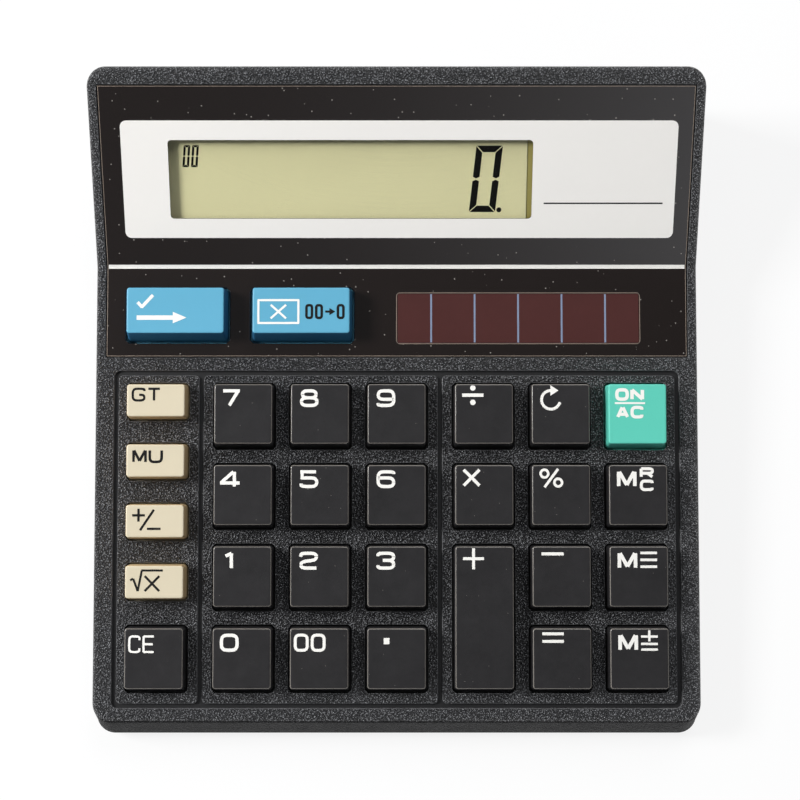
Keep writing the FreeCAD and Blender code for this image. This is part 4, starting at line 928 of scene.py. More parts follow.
@dataclass(frozen=True)
class Key:
    """One key: its name, kind, place, finish and legends.

    Attributes:
        name: name of its CAD node without the prefix.
        kind: its sizes.
        x: millimetres to the right.
        reach: millimetres in front of the fold.
        finish: its moulded finish.
        slot: the record's material slot; not used.
        legend: its main legend.
        ink: finish of the main legend.
        second: a legend in dark ink.
        wall: finish of its side walls, painted lit on the beige keys and in shade on the blue ones, if it
            differs.
    """
    name: str
    kind: KeyKind
    x: float
    reach: float
    finish: Finish
    slot: str
    legend: Legend
    ink: Finish = WHITE_PRINT
    second: Legend | None = None
    wall: Finish | None = None

    def build(self) -> bpy.types.Object:
        """Makes the cap with its legends, riding on its own body.

        Returns:
            The piece.
        """
        form, kind = bmesh.new(), self.kind
        rings = [[form.verts.new((x * MM, (y + shift) * MM, z * MM))
                  for x, y in rounded_outline(half_x, half_y, corner)]
                 for half_x, half_y, shift, z, corner in kind.sections()]
        loops_to_faces(form, rings)
        form.faces.new(rings[-1])
        form.faces.new(list(reversed(rings[0])))
        for face in form.faces:
            face.normal_update()
            # Side walls take their own finish: painted light on the beige keys, painted shade on the blue
            # ones.
            if self.wall and abs(face.normal.z) < WALL_TILT:
                face.material_index = KeyFace.WALL
            # The black keys' rounded edges take a pale painted highlight.
            elif self.finish is BLACK_KEY and EDGE_TILT[0] < face.normal.z < EDGE_TILT[1]:
                face.material_index = KeyFace.EDGE
        corner = Vector((-kind.top_width / 2, kind.top_length / 2 + kind.shift, kind.height - LEGEND_SINK))
        for legend, index in ((self.legend, KeyFace.INK), (self.second, KeyFace.DARK_INK)):
            if legend:
                legend.stamp(form, Matrix.Translation(corner * MM), index)
        form.transform(PLANES.matrix(Slope.DECK, self.x, -self.reach))
        cap, node = f"cap_{self.name}", f"key_{self.name}"
        finishes = (self.finish, self.ink, BLACK_PRINT, self.wall or self.finish, KEY_EDGE_HIGHLIGHT)
        return finished(cap, to_mesh(form, cap, CAP_SMOOTH), finishes, node, [node])


@dataclass
class Keypad:
    """All the keys, row by row, in millimetres from the fold and the middle."""
    first_row: float = 35.6
    row_pitch: float = 19.0
    column_pitch: float = 18.0
    number_left: float = -36.0
    function_left: float = 20.5
    side_column: float = -56.5
    low_row: float = 32.175
    low_pitch: float = 14.15
    wide_row: float = 11.55
    check_x: float = -52.05
    correct_x: float = -22.45

    def row(self, index: float) -> float:
        """Reach of a standard row's middle."""
        return self.first_row + index * self.row_pitch

    def black(self, name: str, column_x: float, row: float, legend: Legend,
              kind: KeyKind = STANDARD) -> Key:
        """A black key in a row."""
        return Key(name, kind, column_x, self.row(row), BLACK_KEY, "black_key", legend)

    def memory(self) -> Legend:
        """A legend that starts with the memory sign."""
        return Legend().sign("M", 4.2, 4.6, 1.85, 1.15, 0.85)

    def numbers(self) -> list[Key]:
        """Digit keys with the double zero and the point.

        Returns:
            The keys.
        """
        keys = []
        rows = (("7", "8", "9"), ("4", "5", "6"), ("1", "2", "3"), ("0", "00", "point"))
        for row, names in enumerate(rows):
            for column, name in enumerate(names):
                if name == "point":
                    legend = Legend().bars((3.8, 2.2, 1.35, 1.45))
                elif name == "00":
                    legend = Legend().sign(name, 4.2, 7.4, 0.9, stroke=0.68)
                else:
                    legend = Legend().sign(name, 4.2, 4.4, 2.1 if column else 1.7)
                keys.append(self.black(name, self.number_left + column * self.column_pitch, row, legend))
        return keys

    def functions(self) -> list[Key]:
        """Arithmetic and memory keys to the right.

        Returns:
            The keys.
        """
        first, second, third = (self.function_left + column * self.column_pitch for column in range(3))
        divide = Legend().bars((1.7, 2.2, 5.0, 0.8)).circle(4.2, 0.9, 1.3, 0.64).circle(4.2, 4.3, 1.3, 0.64)
        multiply = Legend().strokes((2.0, 1.1, 5.7, 4.8), (2.0, 4.8, 5.7, 1.1), width=0.72)
        plus = Legend().bars((1.8, 2.5, 4.9, 0.68), (3.91, 0.4, 0.68, 4.9))
        percent = Legend().strokes((2.9, 5.2, 6.1, 0.9), width=0.62)
        percent.circle(2.9, 2.0, 2.4).circle(6.1, 4.1, 2.4)
        equals = Legend().bars((2.2, 0.9, 5.0, 0.68), (2.2, 2.65, 5.0, 0.68))
        on_clear = Legend().sign("ON", 3.0, 6.8, 1.6, 0.95, 0.8).bars((1.5, 4.25, 7.1, 0.45))
        on_clear.sign("AC", 3.0, 6.4, 1.8, 5.1, 0.75)
        recall = self.memory().sign("R", 2.6, 3.3, 7.2, 0.5, 0.7).sign("C", 2.7, 3.2, 7.2, 3.4, 0.7)
        less = self.memory().bars((7.15, 1.2, 3.9, 0.6), (7.15, 2.8, 3.9, 0.6), (7.15, 4.4, 3.9, 0.6))
        more = self.memory().bars((7.15, 1.6, 3.9, 0.55), (8.8, 0.4, 0.55, 2.6), (7.15, 3.3, 3.9, 0.55),
                                  (7.15, 4.6, 3.9, 0.55))
        return [
            self.black("divide", first, 0, divide),
            self.black("multiply", first, 1, multiply),
            self.black("plus", first, 2.5, plus, TALL),
            self.black("replay", second, 0, Legend().turning_arrow(4.5, 3.7, 2.2)),
            self.black("percent", second, 1, percent),
            self.black("minus", second, 2, Legend().bars((2.1, 1.35, 5.2, 0.72))),
            self.black("equals", second, 3, equals),
            Key("on_clear", STANDARD, third, self.row(0), GREEN_KEY, "green_key", on_clear),
            self.black("memory_recall", third, 1, recall),
            self.black("memory_minus", third, 2, less),
            self.black("memory_plus", third, 3, more),
        ]

    def side(self) -> list[Key]:
        """Column at the left: four low keys and the clear-entry key.

        Returns:
            The keys.
        """
        slash = Legend().bars((1.5, 2.15, 3.0, 0.55), (2.73, 0.9, 0.55, 3.0), (5.0, 5.3, 3.2, 0.55))
        slash.strokes((3.4, 5.9, 6.6, 1.1), width=0.55)
        root = Legend().strokes((1.2, 3.4, 1.9, 3.0), (1.9, 3.0, 3.0, 5.9), (3.0, 5.9, 3.9, 1.1),
                                (3.8, 1.1, 8.8, 1.1), width=0.5)
        root.strokes((4.6, 2.4, 8.0, 5.9), (4.6, 5.9, 8.0, 2.4), width=0.55)
        legends = {"grand_total": Legend().sign("GT", 3.3, 6.9, 1.1, 0.8, 0.55),
                   "mark_up": Legend().sign("MU", 3.3, 7.2, 1.4, 1.1, 0.62),
                   "sign_change": slash, "square_root": root}
        keys = [Key(name, LOW, self.side_column, self.low_row + index * self.low_pitch, BEIGE_KEY,
                    "beige_key", legend, BLACK_PRINT, wall=LIT_BEIGE_WALL)
                for index, (name, legend) in enumerate(legends.items())]
        clear = Legend().sign("CE", 4.1, 6.2, 0.9, 1.6, 0.5)
        return keys + [self.black("clear_entry", self.side_column, 3, clear)]

    def wide(self) -> list[Key]:
        """The two blue keys on the overlay.

        Returns:
            The keys.
        """
        check = Legend().strokes((2.6, 3.5, 3.7, 4.7), (3.5, 4.7, 6.2, 1.8), width=0.75)
        check.bars((2.4, 6.6, 8.8, 1.05)).arrow_head(10.9, 7.12, 3.2, 2.7)
        box = Legend().strokes((1.2, 3.0, 11.0, 3.0), (1.2, 8.4, 11.0, 8.4), (1.4, 3.0, 1.4, 8.4),
                               (10.8, 3.0, 10.8, 8.4), (4.3, 4.1, 7.9, 7.3), (4.3, 7.3, 7.9, 4.1), width=0.5)
        shorten = Legend().sign("00", 3.6, 4.2, 12.4, 3.9, 0.6).bars((17.1, 5.45, 1.4, 0.5))
        shorten.arrow_head(18.1, 5.7, 1.4, 1.7).sign("0", 3.6, 1.9, 19.8, 3.9, 0.6)
        return [Key(name, WIDE, x, self.wide_row, BLUE_KEY, "blue_key", legend, second=second, wall=BLUE_WALL)
                for name, x, legend, second in (("check", self.check_x, check, None),
                                                ("correct", self.correct_x, box, shorten))]

    def build(self) -> None:
        """Makes every key."""
        for key in self.numbers() + self.functions() + self.side() + self.wide():
            key.build()


# Case

@dataclass
class Case:
    """Both shells, the battery door and the overlay, in millimetres and degrees.

    Attributes:
        edge: width of the mouldings' edge rounding.
        smooth: angle under which a moulding's edges are shaded smooth.
        sunk: depth below which a face of the top shell is smooth and painted in shade.
        steep: how far a face of the front wall faces the front, from 0 to 1.
        front_y: the front wall lies before this Y.
        rim: width along the case's outline that keeps its grain.
        sheet_edge: width of the overlay's edge rounding.
        sheet_angle: edges of the overlay sharper than this are rounded.
        sheet_smooth: angle under which the overlay's edges are shaded smooth.
    """
    edge: float = 0.14
    smooth: float = 28.0
    sunk: float = 0.35
    steep: float = 0.55
    front_y: float = -70.0
    rim: float = 3.0
    sheet_edge: float = 0.2
    sheet_angle: float = 35.0
    sheet_smooth: float = 15.0

    def is_smooth(self, face: bmesh.types.BMFace) -> bool:
        """Whether a face is inside a groove or an opening, and so has no grain and is painted in shade.

        Args:
            face: face of the top shell.

        Returns:
            True for groove floors, opening walls and the overlay's seat.
        """
        middle = face.calc_center_median()
        fold = PLANES.fold()
        plane = Slope.DECK if middle.y < fold.y else Slope.DISPLAY
        local = PLANES.matrix(plane).inverted() @ middle / MM
        at_side = abs(middle.x) > SHELL_TOP.x - self.rim * MM
        at_end = middle.y > SHELL_TOP.y - self.rim * MM or local.y < -PLANES.deck_run + self.rim / 2
        return local.z < -self.sunk and not (at_side or at_end)

    def shell(self, node: str, graded: bool = False, body: str = ROOT) -> None:
        """Dresses one moulding.

        Args:
            node: its CAD node.
            graded: whether its sunk faces are smooth and painted in shade.
            body: CAD body that it rides on.
        """
        form = node_form(node)
        for face in form.faces:
            # Faces of the front wall take a darker finish: painted shade.
            if face.normal.y < -self.steep and face.calc_center_median().y < self.front_y * MM:
                face.material_index = CaseFace.FRONT
            # Sunk faces take the smooth finish, darker as painted shade.
            elif graded and self.is_smooth(face):
                face.material_index = CaseFace.SMOOTH
        finishes = (GRAINED_CASE, SMOOTH_SHADED_CASE, SHADED_FRONT_CASE, CASE_EDGE_HIGHLIGHT)
        piece = finished(f"moulded_{node}", to_mesh(form, node, self.smooth), finishes, body,
                         [node])
        # The rounded edges take a pale painted highlight.
        soften_edges(piece, self.edge, finish=CaseFace.EDGE)

    def overlay(self) -> None:
        """Dresses the glossy overlay."""
        mesh = to_mesh(node_form("faceplate"), "faceplate", self.sheet_smooth)
        piece = finished("glossy_overlay", mesh, (OVERLAY,), ROOT, ["faceplate"])
        soften_edges(piece, self.sheet_edge, angle=self.sheet_angle)

    def build(self) -> None:
        """Makes the mouldings and the overlay."""
        self.shell("top_shell", graded=True)
        self.shell("bottom_shell")
        self.shell("battery_door", body="battery_door")
        self.overlay()


@dataclass
class OverlayPrint:
    """Silver frame and white lines printed on the overlay, with painted highlights along its cut edges, in
    millimetres.
    """
    frame_left: float = -64.2
    frame_right: float = 65.4
    frame_low: float = 7.18
    frame_high: float = 35.17
    frame_corner: float = 1.5
    window_left: float = -53.3
    window_width: float = 85.1
    window_low: float = 11.85
    window_height: float = 18.75
    window_corner: float = 0.9
    line_half: float = 68.6
    line_rear: float = 0.6
    line_front: float = 0.3
    rule_left: float = 34.6
    rule_right: float = 62.6
    rule_run: float = 15.4
    rule_width: float = 0.35
    cell_x: float = 28.9
    cell_half_x: float = 28.85
    cell_half_y: float = 6.0
    cell_band: float = 0.16
    cell_corner: float = 0.6
    band_corner: float = 0.9
    edge_half: float = 68.8
    edge_width: float = 0.13
    edge_rear: float = 43.1
    edge_front: float = -21.2

    def lay(self, art: Drawing, form: bmesh.types.BMesh, plane: Slope, index: PrintFace,
            layer: int = 1) -> None:
        """Lays a drawing on the overlay, in the first or a higher layer of print."""
        art.stamp(form, PLANES.matrix(plane, lift=layer * PRINT_LIFT - OVERLAY_SINK), index)

    def silver_frame(self) -> Drawing:
        """The frame round the display window.

        Returns:
            The drawing.
        """
        art = Drawing()
        half_x, half_y = (self.frame_right - self.frame_left) / 2, (self.frame_high - self.frame_low) / 2
        outer = shifted(rounded_outline(half_x, half_y, self.frame_corner),
                        (self.frame_left + self.frame_right) / 2, (self.frame_low + self.frame_high) / 2)
        half_x, half_y = self.window_width / 2, self.window_height / 2
        inner = shifted(rounded_outline(half_x, half_y, self.window_corner), self.window_left + half_x,
                        self.window_low + half_y)
        art.ring(outer, inner)
        return art

    def cell_border(self) -> Drawing:
        """The painted highlight round the cut edge of the solar cell's window.

        Returns:
            The drawing.
        """
        art = Drawing()
        sizes = ((self.cell_band, self.band_corner), (0.0, self.cell_corner))
        art.ring(*(shifted(rounded_outline(self.cell_half_x + band, self.cell_half_y + band, corner),
                           self.cell_x, CELL_RUN) for band, corner in sizes))
        return art

    def sheet_edge(self, low: float, high: float, end: float) -> Drawing:
        """The painted highlight along the overlay's cut edge on one plane.

        Args:
            low: run where the plane's part of the overlay starts.
            high: run where it stops.
            end: run of the edge that is not the fold.

        Returns:
            The line.
        """
        art, half = Drawing(), self.edge_width / 2
        for side in (-1, 1):
            art.bar(side * self.edge_half - half, low, side * self.edge_half + half, high)
        art.bar(-self.edge_half, end - half, self.edge_half, end + half)
        return art

    def build(self) -> None:
        """Makes the printed areas and the painted edge highlights as one thin piece."""
        form = bmesh.new()
        self.lay(self.silver_frame(), form, Slope.DISPLAY, PrintFace.SILVER)
        for plane, low, high in ((Slope.DISPLAY, 0.0, self.line_rear), (Slope.DECK, -self.line_front, 0.0)):
            line = Drawing()
            line.bar(-self.line_half, low, self.line_half, high)
            self.lay(line, form, plane, PrintFace.WHITE)
        rule = Drawing()
        rule.bar(self.rule_left, self.rule_run, self.rule_right, self.rule_run + self.rule_width)
        self.lay(rule, form, Slope.DISPLAY, PrintFace.BLACK, 2)
        self.lay(self.cell_border(), form, Slope.DECK, PrintFace.EDGE_HIGHLIGHT)
        rear, front = self.edge_rear, self.edge_front
        self.lay(self.sheet_edge(0.0, rear, rear), form, Slope.DISPLAY, PrintFace.EDGE_HIGHLIGHT)
        self.lay(self.sheet_edge(front, 0.0, front), form, Slope.DECK, PrintFace.EDGE_HIGHLIGHT)
        finishes = (SILVER_PRINT, WHITE_PRINT, BLACK_PRINT, EDGE_HIGHLIGHT)
        finished("overlay_print", to_mesh(form, "overlay_print"), finishes)


@dataclass
class Display:
    """Liquid-crystal film with its figures, in millimetres on the display plane.

    Attributes:
        film_depth: depth of the film below the case.
        lean: how far a figure leans to the right for its height.
        figure: left, low, width, height and stroke width of the large figure.
        small: the same without the left, for the small figures.
        small_lefts: left of each small figure.
        dot: X, run and radius of the point.
        joint: gap between two segments, as a share of the stroke width.
        tip: slope of a segment's tip, as a share of the stroke width.
    """
    film_depth: float = 2.0
    lean: float = 0.10
    figure: tuple[float, float, float, float, float] = (17.1, 13.0, 6.2, 15.9, 1.55)
    small: tuple[float, float, float, float] = (23.8, 1.55, 5.2, 0.52)
    small_lefts: Spot = (-50.3, -48.3)
    dot: tuple[float, float, float] = (24.2, 13.55, 0.6)
    joint: float = 0.1
    tip: float = 0.35

    def zero(self, art: Drawing, left: float, low: float, width: float, height: float, stroke: float) -> None:
        """Draws a leaning zero of six segments.

        Args:
            art: drawing that takes it.
            left: left edge of its foot.
            low: lower edge.
            width: width without the lean.
            height: height.
            stroke: stroke width.
        """
        gap, tip, middle = stroke * self.joint, stroke * self.tip, height / 2
        under, inner = height - stroke, width - stroke
        rise = [(0, height - gap), (0, middle + tip), (stroke / 2, middle + gap), (stroke, middle + tip),
                (stroke, under - gap)]
        shapes = {"a": [(gap, height), (stroke + gap, under), (inner - gap, under), (width - gap, height)],
                  "f": rise, "b": [(width - x, y) for x, y in reversed(rise)]}
        for upper, lower in (("a", "d"), ("f", "e"), ("b", "c")):
            shapes[lower] = [(x, height - y) for x, y in reversed(shapes[upper])]
        for name in "abcdef":
            art.fill([(left + x + self.lean * y, low + y) for x, y in shapes[name]])

    def build(self) -> None:
        """Makes the film and its figures as one piece."""
        form, art = node_form("lcd_polarizer"), Drawing()
        self.zero(art, *self.figure)
        x, run, radius = self.dot
        art.fill(shifted(rounded_outline(radius, radius, radius), x, run))
        for left in self.small_lefts:
            self.zero(art, left, *self.small)
        art.stamp(form, PLANES.matrix(Slope.DISPLAY, lift=PRINT_LIFT - self.film_depth), CellFace.MARK)
        finished("display_figures", to_mesh(form, "lcd_polarizer"), (LCD_FILM, LCD_INK), ROOT,
                 ["lcd_polarizer"])


# Pieces that repeat, made by Geometry Nodes

Sizes = dict[str, bpy.types.NodeSocket]
# Sides of the round pads and screw heads, and how far a screw's slots drop for the head's height.
PAD_SIDES = 48
SCREW_SIDES = 40
SLOT_DROP = -0.6


class Repeat:
    """Geometry Nodes tree that sets one shape on each point of a mesh."""

    def __init__(self, name: str, shape: Callable[[bpy.types.NodeTree, Sizes], bpy.types.NodeSocket],
                 sizes: dict[str, float], finish: Finish) -> None:
        """Builds the tree.

        Args:
            name: name of the tree.
            shape: function that adds the repeated shape's nodes and returns its geometry socket.
            sizes: named sizes in millimetres, which become the tree's inputs.
            finish: finish of the shape.
        """
        tree = bpy.data.node_groups.new(name, "GeometryNodeTree")
        self.name, self.sizes, self.tree = name, sizes, tree
        tree.interface.new_socket("Geometry", in_out="INPUT", socket_type="NodeSocketGeometry")
        for size in sizes:
            tree.interface.new_socket(size, in_out="INPUT", socket_type="NodeSocketFloat")
        tree.interface.new_socket("Geometry", in_out="OUTPUT", socket_type="NodeSocketGeometry")
        source = add_node(tree, "NodeGroupInput")
        inputs = {size: source.outputs[size] for size in sizes}
        spread = add_node(tree, "GeometryNodeInstanceOnPoints", Points=source.outputs["Geometry"],
                          Instance=shape(tree, inputs))
        real = add_node(tree, "GeometryNodeRealizeInstances", Geometry=spread.outputs[0])
        dressed = add_node(tree, "GeometryNodeSetMaterial", Geometry=real.outputs[0], Material=finish.build())
        add_node(tree, "NodeGroupOutput", Geometry=dressed.outputs[0])

    def bake(self, points: Sequence[Spot]) -> bpy.types.Mesh:
        """Runs the tree on points of a flat drawing.

        Args:
            points: places in millimetres.

        Returns:
            The finished mesh.
        """
        seed = bpy.data.meshes.new(f"{self.name}_points")
        seed.from_pydata([(x * MM, y * MM, 0.0) for x, y in points], [], [])
        holder = bpy.data.objects.new(f"{self.name}_points", seed)
        bpy.context.scene.collection.objects.link(holder)
        modifier = holder.modifiers.new(self.name, "NODES")
        modifier.node_group = self.tree
        for item in self.tree.interface.items_tree:
            if item.in_out == "INPUT" and item.name in self.sizes:
                modifier[item.identifier] = self.sizes[item.name] * MM
        bpy.context.view_layer.update()
        baked = bpy.data.meshes.new_from_object(holder.evaluated_get(bpy.context.evaluated_depsgraph_get()))
        holder.modifiers.clear()
        bpy.data.objects.remove(holder)
        return baked


def block_shape(tree: bpy.types.NodeTree, sizes: Sizes) -> bpy.types.NodeSocket:
    """Flat block of a width, length and height."""
    size = add_node(tree, "ShaderNodeCombineXYZ", X=sizes["Width"], Y=sizes["Length"], Z=sizes["Height"])
    return add_node(tree, "GeometryNodeMeshCube", Size=size.outputs[0]).outputs["Mesh"]


def pad_shape(tree: bpy.types.NodeTree, sizes: Sizes) -> bpy.types.NodeSocket:
    """Round pad of a radius and height."""
    return add_node(tree, "GeometryNodeMeshCylinder", Vertices=PAD_SIDES, Radius=sizes["Radius"],
                    Depth=sizes["Height"]).outputs["Mesh"]


def screw_shape(tree: bpy.types.NodeTree, sizes: Sizes) -> bpy.types.NodeSocket:
    """Round screw head with a cross recess.

    Args:
        tree: nodes that take the shape.
        sizes: its radius, height, slot length and slot width.

    Returns:
        The head's geometry.
    """
    head = add_node(tree, "GeometryNodeMeshCylinder", Vertices=SCREW_SIDES, Radius=sizes["Radius"],
                    Depth=sizes["Height"])
    drop = add_node(tree, "ShaderNodeMath", {"operation": "MULTIPLY"}, in_0=sizes["Height"], in_1=SLOT_DROP)
    away = add_node(tree, "ShaderNodeCombineXYZ", Z=drop.outputs[0])
    rest = head.outputs["Mesh"]
    for x, y in (("Slot length", "Slot width"), ("Slot width", "Slot length")):
        size = add_node(tree, "ShaderNodeCombineXYZ", X=sizes[x], Y=sizes[y], Z=sizes["Height"])
        cube = add_node(tree, "GeometryNodeMeshCube", Size=size.outputs[0])
        slot = add_node(tree, "GeometryNodeTransform", Geometry=cube.outputs["Mesh"],
                        Translation=away.outputs[0])
        rest = add_node(tree, "GeometryNodeMeshBoolean", {"operation": "DIFFERENCE"}, in_0=rest,
                        in_1=slot.outputs[0]).outputs["Mesh"]
    return rest


@dataclass
class Underside:
    """Rubber feet and case screws, which repeat, in millimetres."""
    foot_side: float = 57.5
    foot_edge: float = 0.25
    screw_radius: float = 2.3
    screw_head: float = 1.5
    slot_length: float = 2.6
    slot_width: float = 0.6
    screw_side: float = 65.8
    screw_inset: float = 5.9
    screw_middle: float = 23.0
    screw_front: float = 103.7

    def screw_rows(self) -> list[float]:
        """Y of the three rows of case screws.

        Returns:
            Millimetres, from back to front.
        """
        fold = PLANES.fold().y / MM
        back = SHELL_TOP.y / MM
        deck = math.cos(math.radians(Slope.DECK.value))
        return [back - self.screw_inset, fold - self.screw_middle * deck, fold - self.screw_front * deck]

    def feet(self) -> None:
        """Makes the rubber feet in their CAD box."""
        low, high = (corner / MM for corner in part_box("rubber_feet"))
        radius = high.x - self.foot_side
        pads = Repeat("rubber_pads", pad_shape, {"Radius": radius, "Height": high.z - low.z}, RUBBER_FOOT)
        mesh = pads.bake([(x, y) for x in (-self.foot_side, self.foot_side)
                          for y in (low.y + radius, high.y - radius)])
        mesh.transform(Matrix.Translation((0, 0, (low.z + high.z) / 2 * MM)))
        piece = finished("rubber_pads", mesh, (RUBBER_FOOT,), ROOT, ["rubber_feet"])
        soften_edges(piece, self.foot_edge)

    def screws(self) -> None:
        """Makes the case screws on the lower end of their CAD box."""
        sizes = {"Radius": self.screw_radius, "Height": self.screw_head, "Slot length": self.slot_length,
                 "Slot width": self.slot_width}
        heads = Repeat("cross_head_screws", screw_shape, sizes, STEEL)
        mesh = heads.bake([(x, y) for x in (-self.screw_side, self.screw_side) for y in self.screw_rows()])
        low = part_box("case_screws")[0].z / MM
        mesh.transform(Matrix.Translation((0, 0, (low + self.screw_head / 2) * MM)))
        finished("cross_head_screws", mesh, (STEEL,), ROOT, ["case_screws"])

    def build(self) -> None:
        """Makes the feet and the screws."""
        self.feet()
        self.screws()


@dataclass
class SolarStrip:
    """Solar cell with its scribed lines, in millimetres on the deck."""
    first_line: float = 8.21
    line_pitch: float = 10.35
    lines: int = 5
    line_width: float = 0.42
    line_length: float = 11.6
    depth: float = 0.2

    def build(self) -> None:
        """Makes the cell and its lines as one piece."""
        form = node_form("solar_cell")
        sizes = {"Width": self.line_width, "Length": self.line_length, "Height": 2 * PRINT_LIFT}
        strips = Repeat("scribed_lines", block_shape, sizes, SOLAR_LINE)
        mesh = strips.bake([(self.first_line + index * self.line_pitch, CELL_RUN)
                            for index in range(self.lines)])
        mesh.transform(PLANES.matrix(Slope.DECK, lift=-self.depth))
        start = len(form.faces)
        form.from_mesh(mesh)
        form.faces.ensure_lookup_table()
        for face in form.faces[start:]:
            face.material_index = CellFace.MARK
        finished("solar_strip", to_mesh(form, "solar_cell"), (SOLAR, SOLAR_LINE), ROOT,
                 ["solar_cell"])


# Studio

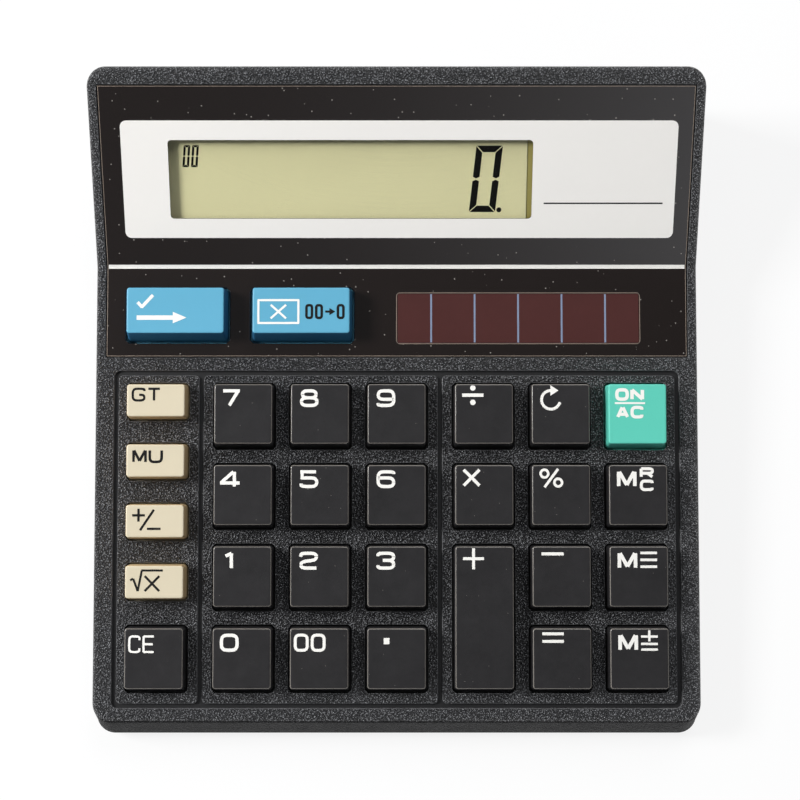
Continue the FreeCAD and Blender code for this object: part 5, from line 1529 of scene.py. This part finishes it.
@dataclass
class Studio:
    """Pale floor, soft light and the camera of the photograph.

    Attributes:
        lens: focal length in millimetres.
        sensor: sensor width in millimetres.
        near: distance in metres from which the camera sees.
        camera: its place in millimetres.
        target: what it looks at, in millimetres.
        ambient: middle strength of the light all round.
        fall: direction in which that light grows, with its rate.
        least: strength below which it never falls.
        glow: strength of the glow high in front.
        glow_aim: direction of the glow.
        glow_focus: power that narrows the glow.
        horizon: heights of view between which the white horizon starts and is full.
        floor_half: half the floor's side in metres.
        floor_drop: depth of the floor below the feet in metres.
        floor_glow: share of plain white in what the camera sees of the floor.
    """
    lens: float = 78.75
    sensor: float = 36.0
    near: float = 0.01
    camera: tuple[float, float, float] = (0.8, -42.982, 427.4)
    target: tuple[float, float, float] = (0.8, 1.808, 14.83)
    ambient: float = 0.5
    fall: tuple[float, float, float] = (-0.2, 0.15, -0.38)
    least: float = 0.05
    glow: float = 1.4
    glow_aim: tuple[float, float, float] = (0.32, -0.61, 0.72)
    glow_focus: float = 32.0
    horizon: Spot = (0.25, 0.1)
    floor_half: float = 30.0
    floor_drop: float = 0.0002
    floor_glow: float = 0.85

    def seen(self, tree: bpy.types.NodeTree) -> bpy.types.NodeSocket:
        """1 for rays that show the background: from the camera, off gloss and through glass.

        Args:
            tree: nodes of the floor or the world.

        Returns:
            The share.
        """
        rays = add_node(tree, "ShaderNodeLightPath")
        mirrored = add_node(tree, "ShaderNodeMath", {"operation": "MAXIMUM"},
                            in_0=rays.outputs["Is Glossy Ray"], in_1=rays.outputs["Is Transmission Ray"])
        return add_node(tree, "ShaderNodeMath", {"operation": "MAXIMUM"}, in_0=rays.outputs["Is Camera Ray"],
                        in_1=mirrored.outputs[0]).outputs[0]

    def floor(self) -> None:
        """Pale floor that stays white to the camera and keeps a faint shadow."""
        mesh = bpy.data.meshes.new("floor")
        half = self.floor_half
        corners = [(-half, -half, 0), (half, -half, 0), (half, half, 0), (-half, half, 0)]
        mesh.from_pydata(corners, [], [(0, 1, 2, 3)])
        material = bpy.data.materials.new("pale_floor")
        material.use_nodes = True
        tree = material.node_tree
        shader = tree.nodes["Principled BSDF"]
        shader.inputs["Base Color"].default_value = hex_colour("F4F4F4")
        shader.inputs["Roughness"].default_value = 0.9
        glow = add_node(tree, "ShaderNodeEmission", Color=(1.0, 1.0, 1.0, 1.0), Strength=1.0)
        share = add_node(tree, "ShaderNodeMath", {"operation": "MULTIPLY"}, in_0=self.seen(tree),
                         in_1=self.floor_glow)
        mixed = add_node(tree, "ShaderNodeMixShader", in_0=share.outputs[0], in_1=shader.outputs[0],
                         in_2=glow.outputs[0])
        tree.links.new(mixed.outputs[0], tree.nodes["Material Output"].inputs["Surface"])
        mesh.materials.append(material)
        floor = bpy.data.objects.new("floor", mesh)
        floor.location.z = -self.floor_drop
        bpy.context.scene.collection.objects.link(floor)

    def world(self) -> None:
        """Soft light: dim overhead, brighter to the left, a glow high in front and a white horizon."""
        world = bpy.data.worlds.new("studio")
        bpy.context.scene.world = world
        world.use_nodes = True
        tree = world.node_tree
        back = tree.nodes["Background"]
        back.inputs["Color"].default_value = hex_colour("F2F5FA")
        aim = add_node(tree, "ShaderNodeTexCoord").outputs["Generated"]
        tilt = add_node(tree, "ShaderNodeVectorMath", {"operation": "DOT_PRODUCT"}, in_0=aim, in_1=self.fall)
        soft = add_node(tree, "ShaderNodeMath", {"operation": "ADD"}, in_0=tilt.outputs["Value"],
                        in_1=self.ambient)
        near = add_node(tree, "ShaderNodeVectorMath", {"operation": "DOT_PRODUCT"}, in_0=aim,
                        in_1=self.glow_aim)
        facing = add_node(tree, "ShaderNodeMath", {"operation": "MAXIMUM"}, in_0=near.outputs["Value"],
                          in_1=0.0)
        spot = add_node(tree, "ShaderNodeMath", {"operation": "POWER"}, in_0=facing.outputs[0],
                        in_1=self.glow_focus)
        lit = add_node(tree, "ShaderNodeMath", {"operation": "MULTIPLY_ADD"}, in_0=spot.outputs[0],
                       in_1=self.glow, in_2=soft.outputs[0])
        kept = add_node(tree, "ShaderNodeMath", {"operation": "MAXIMUM"}, in_0=lit.outputs[0],
                        in_1=self.least)
        height = add_node(tree, "ShaderNodeSeparateXYZ", Vector=aim)
        low = add_node(tree, "ShaderNodeMapRange", Value=height.outputs["Z"], From_Min=self.horizon[0],
                       From_Max=self.horizon[1])
        white = add_node(tree, "ShaderNodeMath", {"operation": "MULTIPLY"}, in_0=low.outputs[0],
                         in_1=self.seen(tree))
        level = add_node(tree, "ShaderNodeMath", {"operation": "MAXIMUM"}, in_0=kept.outputs[0],
                         in_1=white.outputs[0])
        tree.links.new(level.outputs[0], back.inputs["Strength"])

    def lamp(self, name: str, place: Spot, height: float, width: float, watts: float) -> None:
        """Square soft lamp that faces the object.

        Args:
            name: name of the lamp.
            place: X and Y in metres.
            height: height in metres.
            width: side of the square in metres.
            watts: its power.
        """
        light = bpy.data.lights.new(name, "AREA")
        light.shape = "SQUARE"
        light.size = width
        light.energy = watts
        lamp = bpy.data.objects.new(name, light)
        lamp.location = (*place, height)
        lamp.rotation_euler = (-lamp.location).to_track_quat("-Z", "Y").to_euler()
        bpy.context.scene.collection.objects.link(lamp)

    def view(self) -> None:
        """Camera at the photograph's angle."""
        data = bpy.data.cameras.new("photo_camera")
        data.lens = self.lens
        data.sensor_width = self.sensor
        data.clip_start = self.near
        camera = bpy.data.objects.new("photo_camera", data)
        camera.location = Vector(self.camera) * MM
        aim = Vector(self.target) - Vector(self.camera)
        camera.rotation_euler = aim.to_track_quat("-Z", "Y").to_euler()
        bpy.context.scene.collection.objects.link(camera)
        bpy.context.scene.camera = camera

    def build(self) -> None:
        """Sets the studio."""
        bpy.context.scene.view_settings.view_transform = "Standard"
        self.floor()
        self.world()
        self.lamp("window_light", (-0.8, 0.2), height=0.7, width=0.3, watts=12.0)
        self.lamp("ceiling_light", (0.3, 0.9), height=1.1, width=0.7, watts=6.5)
        self.view()


def dress_nodes() -> None:
    """Gives the pieces inside the case their finishes."""
    for node, finish in NODE_FINISHES.items():
        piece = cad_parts[node]
        piece.data.materials.clear()
        piece.data.materials.append(finish.build())
        log.info("%s: %s", node, finish.name)


def main() -> None:
    """Builds the object and its studio."""
    dress_nodes()
    Keypad().build()
    Display().build()
    SolarStrip().build()
    OverlayPrint().build()
    Underside().build()
    Case().build()
    Studio().build()


if __name__ == "__main__":
    main()
